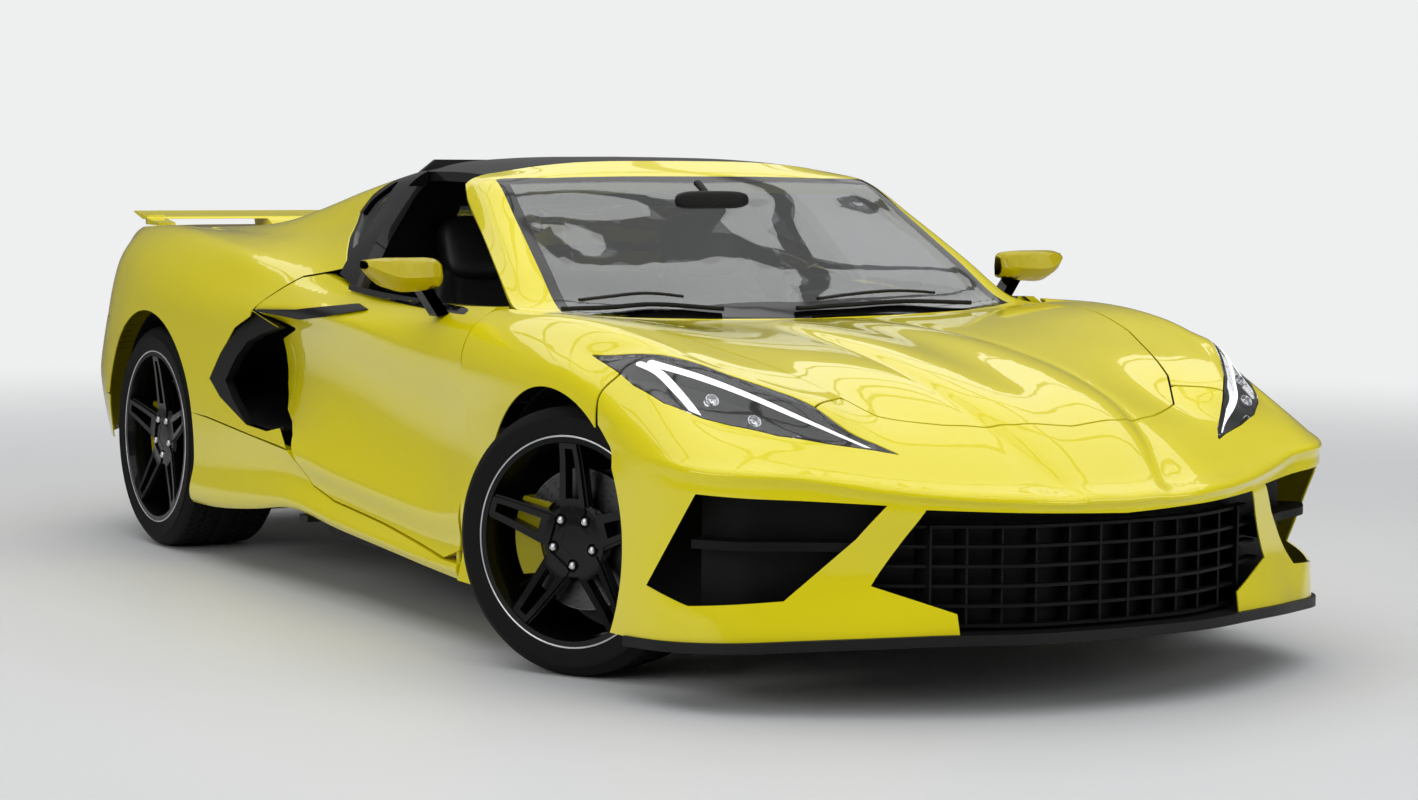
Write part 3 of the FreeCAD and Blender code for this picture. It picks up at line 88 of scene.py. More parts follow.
class CoupeSizes(bpy.types.PropertyGroup):
    """Sizes of the fine detail"""
    lamp_strip: bpy.props.FloatProperty(
        name="Lamp strip", description="Width of a headlamp's light strip", default=0.023, unit="LENGTH")
    tread_depth: bpy.props.FloatProperty(
        name="Tread depth", description="Depth of the tyre grooves", default=0.006, unit="LENGTH")
    flange_line: bpy.props.FloatProperty(
        name="Flange line", description="Width of a rim's bare edge", default=0.0045, unit="LENGTH")
    stitch: bpy.props.FloatProperty(
        name="Seam depth", description="Depth of the seats' seams", default=0.006, unit="LENGTH")


# Shader sums written as expressions

class Wire:
    """A socket in a sum: each operator adds one Math node."""

    def __init__(self, tree, socket):
        self.tree = tree
        self.socket = socket

    def _math(self, operation, *values):
        node = self.tree.nodes.new("ShaderNodeMath")
        node.operation = operation
        for socket, value in zip(node.inputs, values):
            feed(self.tree, socket, value)
        return Wire(self.tree, node.outputs[0])

    def __add__(self, other):
        return self._math("ADD", self, other)

    __radd__ = __add__

    def __sub__(self, other):
        return self._math("SUBTRACT", self, other)

    def __rsub__(self, other):
        return self._math("SUBTRACT", other, self)

    def __mul__(self, other):
        return self._math("MULTIPLY", self, other)

    __rmul__ = __mul__

    def __gt__(self, other):
        return self._math("GREATER_THAN", self, other)

    def __lt__(self, other):
        return self._math("LESS_THAN", self, other)

    def __or__(self, other):
        return self._math("MAXIMUM", self, other)

    def __abs__(self):
        return self._math("ABSOLUTE", self)

    def frac(self):
        return self._math("FRACT", self)

    def sine(self):
        return self._math("SINE", self)


def feed(tree, socket, value):
    """Links a wire to a socket or sets the socket's value; a colour of three numbers gets its fourth."""
    if isinstance(value, Wire):
        tree.links.new(value.socket, socket)
    elif socket.type == "RGBA":
        socket.default_value = (*value, 1.0)
    else:
        socket.default_value = value


class Finish:
    """A material, or the room's world, while it is mixed."""

    def __init__(self, name, world=False):
        self.owner = (bpy.data.worlds if world else bpy.data.materials).new(name)
        self.owner.use_nodes = True
        self.tree = self.owner.node_tree
        self.tree.nodes.clear()
        self.end = "ShaderNodeOutputWorld" if world else "ShaderNodeOutputMaterial"

    def node(self, kind, inputs=None, out=0, **settings):
        """Adds a node, with its sockets by name or number, and gives its output of that name or number."""
        node = self.tree.nodes.new(kind)
        for key, value in settings.items():
            setattr(node, key, value)
        for key, value in (inputs or {}).items():
            feed(self.tree, node.inputs[key], value)
        return Wire(self.tree, node.outputs[out])

    @cached_property
    def at(self):
        """Object coordinates, which are the car's own metres."""
        return self.node("ShaderNodeTexCoord", None, "Object")

    def stretched(self, scale):
        """The same places, with each axis times its scale."""
        return self.node("ShaderNodeMapping", {"Vector": self.at, "Scale": scale})

    def chart(self):
        """The piece's own UV map, as two numbers."""
        return self.parted(self.node("ShaderNodeUVMap", uv_map="chart"))

    def parted(self, at):
        """The first two numbers of a place."""
        first = self.node("ShaderNodeSeparateXYZ", {0: at})
        return first, Wire(self.tree, first.socket.node.outputs[1])

    def noise(self, scale, detail=2.0, rough=0.5):
        """Soft clouds from 0 to 1."""
        return self.node("ShaderNodeTexNoise",
                         {"Vector": self.at, "Scale": scale, "Detail": detail, "Roughness": rough}, "Fac")

    def cells(self, scale, at=None):
        """Distance from the edges of a net of cells."""
        return self.node("ShaderNodeTexVoronoi", {"Vector": at or self.at, "Scale": scale}, "Distance",
                         feature="DISTANCE_TO_EDGE")

    def mix(self, share, first, second):
        """A colour between two others."""
        return self.node("ShaderNodeMix", {0: share, 6: first, 7: second}, 2, data_type="RGBA")

    def ramp(self, share, wanted):
        """A colour from a ramp of (place, colour) stops; a new ramp has two, the first and the last."""
        colour = self.node("ShaderNodeValToRGB", {0: share})
        stops = colour.socket.node.color_ramp.elements
        for place, _ in wanted[1:-1]:
            stops.new(place)
        for stop, (place, tone) in zip(stops, wanted):
            stop.position = place
            stop.color = (*tone, 1.0)
        return colour

    def bump(self, height, strength, distance):
        """A Normal that leans with the height, whose full step is distance metres."""
        return self.node("ShaderNodeBump", {"Height": height, "Strength": strength, "Distance": distance})

    def shader(self, **values):
        """A Principled shader; keys are its socket names with _ for spaces."""
        return self.node("ShaderNodeBsdfPrincipled",
                         {key.replace("_", " "): value for key, value in values.items()})

    def ended(self, shader):
        """The finished material or world."""
        feed(self.tree, self.tree.nodes.new(self.end).inputs[0], shader)
        return self.owner

    def surface(self, **values):
        """A finished material of one Principled shader."""
        return self.ended(self.shader(**values))

    def blended(self, share, first, second):
        """The first shader where share is 0, the second where it is 1."""
        return self.node("ShaderNodeMixShader", {0: share, 1: first, 2: second})


def shade(colour, factor):
    """A darker or lighter colour, kept within 1."""
    return tuple(min(1.0, c * factor) for c in colour)


def lacquer(name, colour, base_rough=0.34, coat=1.0):
    """Clear-coated paint: broad unevenness of the colour and a fine orange peel."""
    mix = Finish(name)
    broad = mix.noise(1.6, 3.0)
    peel = mix.noise(260.0, 1.0)
    return mix.surface(Base_Color=mix.mix(broad, shade(colour, 0.97), shade(colour, 1.02)),
                       Roughness=base_rough + 0.04 * mix.noise(40.0),
                       Normal=mix.bump(peel, 0.05, 0.0004), Specular_IOR_Level=0.15, Coat_Weight=coat,
                       Coat_Roughness=0.025, Coat_IOR=1.5)


def moulding(name, colour, rough=0.46, grain=0.25):
    """Moulded plastic with a fine leather-like grain."""
    mix = Finish(name)
    cells = mix.cells(620.0)
    wear = mix.noise(5.0, 4.0)
    return mix.surface(Base_Color=mix.mix(wear, shade(colour, 0.8), shade(colour, 1.3)),
                       Roughness=rough + 0.12 * wear, Normal=mix.bump(cells, grain, 0.0006),
                       Specular_IOR_Level=0.3)


def leather(name, colour):
    """Full-grain leather: small uneven cells, slightly glossier on their tops."""
    mix = Finish(name)
    cells = mix.cells(380.0)
    broad = mix.noise(9.0, 4.0)
    return mix.surface(Base_Color=mix.mix(broad, shade(colour, 0.75), shade(colour, 1.4)),
                       Roughness=0.42 + 0.16 * broad - 0.4 * cells,
                       Normal=mix.bump(cells + 0.3 * mix.noise(900.0), 0.35, 0.0012))


def rubber(name):
    """Tyre rubber: matte, slightly dusty, with moulding fineness."""
    mix = Finish(name)
    dust = mix.noise(14.0, 5.0, 0.6)
    return mix.surface(Base_Color=mix.mix(dust, (0.0022, 0.0022, 0.0022), (0.006, 0.0057, 0.0055)),
                       Roughness=0.62 + 0.2 * dust, Normal=mix.bump(mix.noise(700.0), 0.2, 0.0006),
                       Specular_IOR_Level=0.2)


def glass(name, tint):
    """Clear or tinted glass with a faint smear."""
    mix = Finish(name)
    smear = mix.noise(3.0, 3.0)
    return mix.surface(Base_Color=tint, Roughness=0.01 * smear, Transmission_Weight=1.0, IOR=1.45)


def cast_metal(name, colour, rough=0.5):
    """Cast or plated metal with fine pits."""
    mix = Finish(name)
    pits = mix.noise(240.0, 4.0, 0.7)
    return mix.surface(Base_Color=mix.mix(mix.noise(12.0, 4.0), shade(colour, 0.8), shade(colour, 1.1)),
                       Metallic=1.0, Roughness=rough + 0.15 * pits, Normal=mix.bump(pits, 0.3, 0.001))


def turned_steel(name):
    """Brake disc face: turning lines by radius, and a drilled hole pattern in slanting rows that is painted
    near-black as shade, not cut.

    The chart holds the turn as 0 to 1 and the radius in metres."""
    mix = Finish(name)
    turn, radius = mix.chart()
    lines = (radius * 5200.0).sine() * 0.5 + 0.5
    rows = (turn * 36.0 + radius * 60.0).frac() - 0.5
    steps = (radius * 62.0).frac() - 0.5
    # Each drilled hole is not cut: its near-black, non-metal colour is painted shade, pressed in by the bump.
    shaded_hole_mask = (rows * rows * 1.3 + steps * steps) < 0.035
    return mix.surface(Base_Color=mix.mix(shaded_hole_mask, (0.16, 0.16, 0.165), (0.004, 0.004, 0.004)),
                       Metallic=1.0 - shaded_hole_mask, Roughness=0.28 + 0.12 * lines,
                       Normal=mix.bump(lines - 3.0 * shaded_hole_mask, 0.25, 0.0008))


def glow(name, colour, strength):
    """A lit strip."""
    mix = Finish(name)
    edge = mix.noise(60.0)
    return mix.surface(Base_Color=mix.mix(edge, shade(colour, 0.95), colour), Roughness=0.25,
                       Emission_Color=colour, Emission_Strength=strength)


def red_lens(name):
    """Tail lens: clear-coated deep red with a fine optic pattern behind it."""
    mix = Finish(name)
    cells = mix.cells(170.0, mix.stretched((1.0, 0.2, 1.0)))
    return mix.surface(Base_Color=mix.mix(cells * 6.0, (0.035, 0.0006, 0.001), (0.20, 0.003, 0.004)),
                       Roughness=0.22, Normal=mix.bump(cells, 0.3, 0.002), Coat_Weight=1.0,
                       Coat_Roughness=0.02)


# Meshes from whole arrays

def placed(name, data):
    """A new object of the scene."""
    thing = bpy.data.objects.new(name, data)
    bpy.context.scene.collection.objects.link(thing)
    return thing


def mesh_piece(name, points, faces, material, smooth=True, chart=None):
    """Object from an (n, 3) array of points and an (m, 4) or (m, 3) array of corners."""
    mesh = bpy.data.meshes.new(name)
    mesh.from_pydata(points.tolist(), [], faces.tolist())
    if chart is not None:
        layer = mesh.uv_layers.new(name="chart")
        corner = np.zeros(len(mesh.loops), np.int32)
        mesh.loops.foreach_get("vertex_index", corner)
        layer.data.foreach_set("uv", chart[corner].astype(np.float32).ravel())
    mesh.polygons.foreach_set("use_smooth", np.full(len(mesh.polygons), smooth))
    mesh.update()
    mesh.materials.append(material)
    return placed(name, mesh)


def cells_of(rows, columns, wrap_rows=False, wrap_columns=False, turn=False):
    """Corners of each cell of a grid of points, row by row."""
    r = np.arange(rows if wrap_rows else rows - 1)
    c = np.arange(columns if wrap_columns else columns - 1)
    r, c = np.meshgrid(r, c, indexing="ij")
    r2 = (r + 1) % rows
    c2 = (c + 1) % columns
    quads = np.stack([r * columns + c, r * columns + c2, r2 * columns + c2, r2 * columns + c], -1)
    quads = quads.reshape(-1, 4)
    return quads[:, ::-1] if turn else quads


def joined(parts):
    """One pair of arrays from several (points, faces) pairs."""
    points = []
    faces = []
    base = 0
    for more, corners in parts:
        points.append(more)
        faces.append(corners + base)
        base += len(more)
    return np.concatenate(points), np.concatenate(faces)


def lathe(profile, steps):
    """Ring about X: each (x, r) of the profile goes once round as (x, r sin t, r cos t)."""
    profile = np.asarray(profile, float)
    t = np.linspace(0, 2 * np.pi, steps, endpoint=False)
    x = np.repeat(profile[:, :1], steps, 1)
    grid = np.stack([x, profile[:, 1:] * np.sin(t), profile[:, 1:] * np.cos(t)], -1)
    return grid.reshape(-1, 3), cells_of(len(profile), steps, wrap_columns=True, turn=True)


def tube(path, section, scale=None):
    """A section of (side, up) offsets carried along a path, times scale where one is given.

    The ends are closed by a fan round the path's own end points."""
    path = np.asarray(path, float)
    scale = np.ones(len(path)) if scale is None else np.asarray(scale, float)
    section = np.asarray(section, float)
    ahead = np.gradient(path, axis=0)
    ahead /= np.linalg.norm(ahead, axis=1, keepdims=True)
    up = np.array([0.0, 0.0, 1.0]) if abs(ahead[0][2]) < 0.9 else np.array([0.0, 1.0, 0.0])
    side = np.cross(ahead, up)
    side /= np.linalg.norm(side, axis=1, keepdims=True)
    top = np.cross(side, ahead)
    section = section[None] * scale[:, None, None]
    grid = path[:, None] + section[..., :1] * side[:, None] + section[..., 1:] * top[:, None]
    n, m = grid.shape[:2]
    points = grid.reshape(-1, 3)
    faces = cells_of(n, m, wrap_columns=True, turn=True)
    centres = np.array([path[0], path[-1]])
    k = np.arange(m)
    after = (k + 1) % m
    last = (n - 1) * m
    start = np.stack([np.full(m, n * m), k, after, after], -1)
    end = np.stack([np.full(m, n * m + 1), last + after, last + k, last + k], -1)
    return np.concatenate([points, centres]), np.concatenate([faces, start, end])


def eased(value, power):
    """The value's size raised to a power, with its sign kept."""
    return np.sign(value) * np.abs(value) ** power


def oval(width, height, steps=12, power=2.0):
    """Closed section whose points follow |2x / width|^power + |2y / height|^power = 1."""
    t = np.linspace(0, 2 * np.pi, steps, endpoint=False)
    return np.stack([width / 2 * eased(np.cos(t), 2 / power),
                     height / 2 * eased(np.sin(t), 2 / power)], -1)


def smooth_path(points, count):
    """Curve through the given points: cubic Hermite pieces with chord slopes."""
    p = np.asarray(points, float)
    s = np.linspace(0, len(p) - 1, count)
    i = np.minimum(s.astype(int), len(p) - 2)
    f = (s - i)[:, None]
    slope = np.gradient(p, axis=0)
    return (p[i] * (2 * f ** 3 - 3 * f ** 2 + 1) + slope[i] * (f ** 3 - 2 * f ** 2 + f)
            + p[i + 1] * (-2 * f ** 3 + 3 * f ** 2) + slope[i + 1] * (f ** 3 - f ** 2))


def puffed(half, power, shape=None, rows=40, columns=56):
    """Closed cushion: a sphere's grid pulled to a rounded box of the given half sizes, then shaped."""
    v = np.linspace(-np.pi / 2, np.pi / 2, rows)[:, None]
    u = np.linspace(-np.pi, np.pi, columns, endpoint=False)[None, :]
    flat = eased(np.cos(v), 2 / power)
    grid = np.stack([half[0] * flat * eased(np.cos(u), 2 / power),
                     half[1] * flat * eased(np.sin(u), 2 / power),
                     half[2] * eased(np.sin(v), 2 / power) * np.ones_like(u)], -1)
    if shape is not None:
        grid = shape(grid)
    return grid.reshape(-1, 3), cells_of(rows, columns, wrap_columns=True)


def slab(outer, inner):
    """Closed plate between two grids of (rows, columns, 3) points; outer is the side that shows."""
    rows, columns = outer.shape[:2]
    n = rows * columns
    front = cells_of(rows, columns)
    index = np.arange(n).reshape(rows, columns)
    edge = np.concatenate([index[0, :-1], index[:-1, -1], index[-1, :0:-1], index[:0:-1, 0]])
    ahead = np.roll(edge, -1)
    rim = np.stack([ahead, edge, edge + n, ahead + n], -1)
    points = np.concatenate([outer.reshape(-1, 3), inner.reshape(-1, 3)])
    return points, np.concatenate([front, front[:, ::-1] + n, rim])


def met(tree, start, way, axis, missed=np.nan):
    """Where a ray meets a skin, along one axis."""
    hit = tree.ray_cast(Vector(start), Vector(way))[0]
    return hit[axis] if hit else missed


def filled(values):
    """Values in which rays that missed take the mean of the others."""
    return np.where(np.isnan(values), np.nanmean(values), values)


def on_flank(tree, side, grid, lift, depth):
    """Plate on a side skin: each (y, z) of the grid is pushed in along X until it meets the skin."""
    sign = SIDES[side]
    rows, columns = grid.shape[:2]
    x = [met(tree, (sign * BESIDE, y, z), (-sign, 0, 0), 0) for y, z in grid.reshape(-1, 2)]
    x = filled(np.array(x)).reshape(rows, columns)
    outer = np.stack([x + sign * lift, grid[..., 0], grid[..., 1]], -1)
    inner = outer - np.array([sign * (lift + depth), 0.0, 0.0])
    points, faces = slab(outer, inner)
    return points, (faces if sign > 0 else faces[:, ::-1])


def moved(shape, shift):
    """The same part, moved by (x, y, z)."""
    points, faces = shape
    return points + np.array(shift), faces


def mirrored(points, faces, sign):
    """The same part on the car's other side, with its faces still outwards."""
    if sign > 0:
        return points, faces
    return points * np.array([-1.0, 1.0, 1.0]), faces[:, ::-1]


def finished(name, shape, material, body, slot, *nodes, crease=None, chart=None):
    """A piece of (points, faces), sharp where its faces meet at more than crease degrees.

    It rides on a body and stands for the nodes, if there are any. The slot is not used."""
    piece = mesh_piece(name, *shape, material, chart=chart)
    if crease is not None:
        piece.data.set_sharp_from_angle(angle=math.radians(crease))
    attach(piece, body)
    if nodes:
        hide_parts(*nodes)
    return piece


def paint_node(node, material):
    """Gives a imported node's own mesh a material."""
    mesh = frame["nodes"][node].data
    mesh.materials.clear()
    mesh.materials.append(material)


def surface_of(*nodes):
    """Search tree over the triangles of one or more nodes."""
    points = []
    faces = []
    for node in nodes:
        mesh = frame["nodes"][node].data
        base = len(points)
        points += [v.co.copy() for v in mesh.vertices]
        faces += [[base + i for i in p.vertices] for p in mesh.polygons]
    return BVHTree.FromPolygons(points, faces)


def dropped(tree, xy, lift=0.0):
    """Points of a skin straight under the given (x, y) places."""
    return np.array([(x, y, met(tree, (x, y, OVER), (0, 0, -1), 2, 0.0) + lift) for x, y in xy])


# Corners of the box, on either side, round a hair-thin strip at the scoop's front edge
SCOOP_STRIP = np.array([[0.930, 0.410, 0.458], [0.962, 0.4265, 0.580]])

# Points are one where they agree in steps of a metre divided by this
WELD_STEPS = 20000


def welded(node, material, angle=17.0, cut=None):
    """Copy of a packed panel with its triangles joined, shaded smooth up to its creases.

    Faces whose middle lies in the box cut, taken on both sides of the car, are left out."""
    source = frame["nodes"][node].data
    count = len(source.vertices)
    points = np.zeros(count * 3, np.float32)
    source.vertices.foreach_get("co", points)
    points = points.reshape(-1, 3)
    keys = np.round(points * WELD_STEPS).astype(np.int64)
    _, first, inverse = np.unique(keys, axis=0, return_index=True, return_inverse=True)
    corner = np.zeros(len(source.loops), np.int32)
    source.loops.foreach_get("vertex_index", corner)
    faces = inverse.reshape(-1)[corner].reshape(-1, 3)
    a, b, c = faces.T
    keep = (a != b) & (b != c) & (a != c)
    if cut is not None:
        middle = points[first][faces].mean(1)
        middle[:, 0] = np.abs(middle[:, 0])
        keep &= ~((middle > cut[0]) & (middle < cut[1])).all(1)
    return finished("finish_" + node, (points[first], faces[keep]), material, body_of(node),
                    slot_of(node), node, crease=angle)


def body_of(node):
    """The body that the record gives a node to."""
    for body, nodes in frame["record"]["behaviour"]["bodies"].items():
        if node in nodes:
            return body
    raise ValueError(node)


def slot_of(node):
    """The material slot that the record gives a node."""
    for row in frame["record"]["subparts"]:
        if row["node"] == node:
            return row["material_slot"]
    raise ValueError(node)


PAINTED = ["front_lid", "nose_cover", "front_wings", "left_door", "right_door", "sills", "rear_wings",
           "windscreen_frame", "rear_hatch", "tail_cover", "spoiler", "left_mirror", "right_mirror"]
BLACK_GLOSS = ["roof_panel", "roof_hoop"]
TRIM = ["splitter", "left_door_blade", "right_door_blade", "intake_blades", "diffuser",
        "dashboard", "console", "cowl", "wheel_liners", "chassis", "luggage_tub", "headlamp_housings",
        "steering_wheel"]


class COUPE_OT_panels(bpy.types.Operator):
    """Paints the body panels, the roof and the moulded trim"""
    bl_idname = "coupe.panels"
    bl_label = "Panels"
    # A mirror's foot lies within this |x| and under this height
    FOOT = (0.935, 0.905)
    # A face of a door belongs to its card where its normal leans inwards by more than this
    INWARD = 0.3
    # Centre and half size, in |x| and z, of the silvered glass
    GLASS_AT = (0.982, 0.937)
    GLASS_HALF = (0.088, 0.031)
    GLASS_PROUD = 0.001

    def execute(self, context):
        colours = context.scene.coupe_colours
        body = lacquer("body_lacquer", colours.body)
        roof = lacquer("roof_lacquer", colours.roof, 0.2, 0.6)
        trim = moulding("grained_trim", colours.trim)
        for node in PAINTED:
            welded(node, body, cut=SCOOP_STRIP if node == "rear_wings" else None)
        self.cards(leather("door_card_leather", colours.hide))
        for node in BLACK_GLOSS:
            welded(node, roof)
        for node in TRIM:
            welded(node, trim)
        # The grille is near-black, darker than the other trim: its own black plus painted shade for the
        # insides of its cells.
        mix = Finish("grille_near_black_painted_shade")
        wear = mix.noise(30.0, 3.0)
        deep = mix.surface(Base_Color=mix.mix(wear, (0.0012, 0.0012, 0.0013), (0.003, 0.003, 0.0032)),
                           Roughness=0.5 + 0.15 * wear, Specular_IOR_Level=0.2)
        welded("nose_grilles", deep)
        self.mirrors(body, roof)
        return {"FINISHED"}

    def cards(self, hide):
        """Leather on the faces of each door that look into the cabin."""
        for side, sign in SIDES.items():
            door = bpy.data.objects["finish_" + side + "_door"].data
            door.materials.append(hide)
            for face in door.polygons:
                if face.normal.x * sign < -self.INWARD:
                    face.material_index = 1

    def mirrors(self, body, black):
        """A second copy of each mirror, whose foot is black, and a silvered glass on its back."""
        silver = Finish("mirror_silver")
        haze = silver.noise(8.0)
        glass_look = silver.surface(Base_Color=(0.75, 0.77, 0.78), Metallic=1.0,
                                    Roughness=0.02 + 0.02 * haze)
        rows = 13
        columns = 40
        v = np.linspace(0, 1, rows)[:, None, None]
        u = np.linspace(0, 2 * np.pi, columns)[None, :, None]
        flat = np.concatenate([self.GLASS_AT[0] + self.GLASS_HALF[0] * v * eased(np.cos(u), 0.7),
                               self.GLASS_AT[1] + self.GLASS_HALF[1] * v * eased(np.sin(u), 0.8)],
                              -1).reshape(-1, 2)
        for side, sign in SIDES.items():
            piece = welded(side + "_mirror", body, 50.0)
            piece.data.materials.append(black)
            for face in piece.data.polygons:
                if abs(face.center.x) < self.FOOT[0] and face.center.z < self.FOOT[1]:
                    face.material_index = 1
            tree = surface_of(side + "_mirror")
            y = filled(np.array([met(tree, (sign * x, 0.0, z), (0, -1, 0), 1) for x, z in flat]))
            points = np.stack([sign * flat[:, 0], y + self.GLASS_PROUD, flat[:, 1]], -1)
            faces = cells_of(rows, columns, wrap_columns=True)
            faces = faces if sign < 0 else faces[:, ::-1]
            finished(side + "_mirror_glass", (points, faces), glass_look, side + "_door", "gloss_black")


class COUPE_OT_glazing(bpy.types.Operator):
    """Gives the windscreen, the side and rear windows and the lamp lenses their glass"""
    bl_idname = "coupe.glazing"
    bl_label = "Glazing"
    # Lines of the windscreen's black border
    SIDE_LEAN = 0.170
    SIDE_EDGE = 0.5205
    FOOT_BOW = 0.30
    FOOT_EDGE = -0.850
    FOOT_SLOPE = 0.10
    HEAD_EDGE = -0.322
    HEAD_SLOPE = 0.04

    def execute(self, context):
        clear = self.screen()
        tinted = glass("tinted_glass", (0.25, 0.28, 0.28))
        lens = glass("lens_clear", (0.97, 0.98, 1.0))
        for node, material in (("windscreen", clear), ("quarter_glass", tinted), ("rear_glass", tinted),
                               ("headlamp_lenses", lens)):
            welded(node, material, 40.0)
        return {"FINISHED"}

    def screen(self):
        """Tinted glass with a black border: the sides are where |x| + lean * y passes an edge.

        The foot and the head are where y passes a line that bows or slopes with |x|."""
        mix = Finish("screen_glass")
        x, y = mix.parted(mix.at)
        x = abs(x)
        side = x + self.SIDE_LEAN * y > self.SIDE_EDGE
        foot = y + self.FOOT_BOW * x * x < self.FOOT_EDGE + self.FOOT_SLOPE * x
        head = y > self.HEAD_EDGE + self.HEAD_SLOPE * x
        smear = mix.noise(3.0, 3.0)
        pane = mix.shader(Base_Color=(0.42, 0.46, 0.46), Roughness=0.01 * smear,
                          Transmission_Weight=1.0, IOR=1.9)
        border = mix.shader(Base_Color=mix.mix(smear, (0.002, 0.002, 0.002), (0.004, 0.004, 0.004)),
                            Roughness=0.08, Specular_IOR_Level=0.5)
        return mix.ended(mix.blended(side | foot | head, pane, border))


class COUPE_OT_metalwork(bpy.types.Operator):
    """Finishes the suspension, brakes, engine block and exhaust"""
    bl_idname = "coupe.metalwork"
    bl_label = "Metalwork"

    def execute(self, context):
        alloy = cast_metal("cast_alloy", (0.45, 0.45, 0.47))
        iron = cast_metal("cast_block", (0.12, 0.12, 0.13), 0.6)
        bright = cast_metal("bright_tips", (0.65, 0.65, 0.68), 0.12)
        # Calipers: the body colour darkened to 0.45; the darkening is painted shade for calipers sitting
        # inside the wheels.
        shaded_caliper_paint = lacquer("caliper_painted_shade_lacquer", shade(context.scene.coupe_colours.body, 0.45), 0.3, 0.3)
        lens = red_lens("tail_lens")
        groups = ((alloy, ["rear_uprights", "front_suspension_arms", "rear_suspension_arms", "drive_shafts",
                           "front_left_knuckle", "front_right_knuckle"]),
                  (iron, ["powertrain"]), (bright, ["exhaust_tips"]), (lens, ["tail_lamps"]),
                  (shaded_caliper_paint, ["front_left_caliper", "front_right_caliper", "rear_calipers"]))
        for material, nodes in groups:
            for node in nodes:
                welded(node, material)
        return {"FINISHED"}


def at_wheel(points, faces, end, side):
    """Moves a part made about the origin, with X outwards, to one of the four hubs."""
    points, faces = mirrored(points, faces, SIDES[side])
    if end == "front":
        c, s = math.cos(STEER), math.sin(STEER)
        points = points @ np.array([[c, s, 0.0], [-s, c, 0.0], [0.0, 0.0, 1.0]])
    centre = AXLE_FRONT if end == "front" else AXLE_REAR
    return moved((points, faces), (SIDES[side] * centre.x, centre.y, centre.z))


# Tyre radius, tyre width and rim radius
WHEELS = {"front": (0.327, 0.245, 0.252), "rear": (0.3455, 0.305, 0.264)}

# Grooves round the tread, as shares of its half width, and their half width
GROOVES = (-0.52, -0.18, 0.18, 0.52)
GROOVE_HALF = 0.0052


def tyre_shape(radius, width, rim, depth, steps=420):
    """Tyre: a profile of shoulder, tread and sidewall goes round, with its tread cut.

    A groove lowers the radius where |x - its line| is under its half width. Slanting sipes lower it
    where the fraction of turn * count + |x| * slant is small."""
    half = width / 2
    tread = np.linspace(-0.82, 0.82, 57) * half
    crown = radius - 0.006 * (np.abs(tread) / half) ** 4
    side_r = np.array([rim, rim + 0.006, rim + 0.014, rim + 0.028, rim + 0.040, rim + 0.043, rim + 0.050,
                       radius - 0.030, radius - 0.018, radius - 0.009])
    side_x = half - np.array([0.014, 0.006, 0.004, 0.001, 0.0, -0.0008, 0.0, 0.004, 0.010, 0.017])
    profile_x = np.concatenate([-side_x, tread, side_x[::-1]])
    profile_r = np.concatenate([side_r, crown, side_r[::-1]])
    t = np.linspace(0, 1, steps, endpoint=False)
    x = np.repeat(profile_x[:, None], steps, 1)
    r = np.repeat(profile_r[:, None], steps, 1)
    on_tread = np.abs(x) < 0.80 * half
    lines = np.zeros_like(x, bool)
    for line in GROOVES:
        lines |= np.abs(x - line * half) < GROOVE_HALF
    sipes = ((t[None, :] * 70 + np.abs(x) * 26) % 1.0 < 0.16) & (np.abs(x) > 0.24 * half)
    r = r - depth * (on_tread & (lines | sipes))
    grid = np.stack([x, r * np.sin(2 * np.pi * t), r * np.cos(2 * np.pi * t)], -1)
    faces = cells_of(len(profile_x), steps, wrap_rows=True, wrap_columns=True, turn=True)
    return grid.reshape(-1, 3), faces


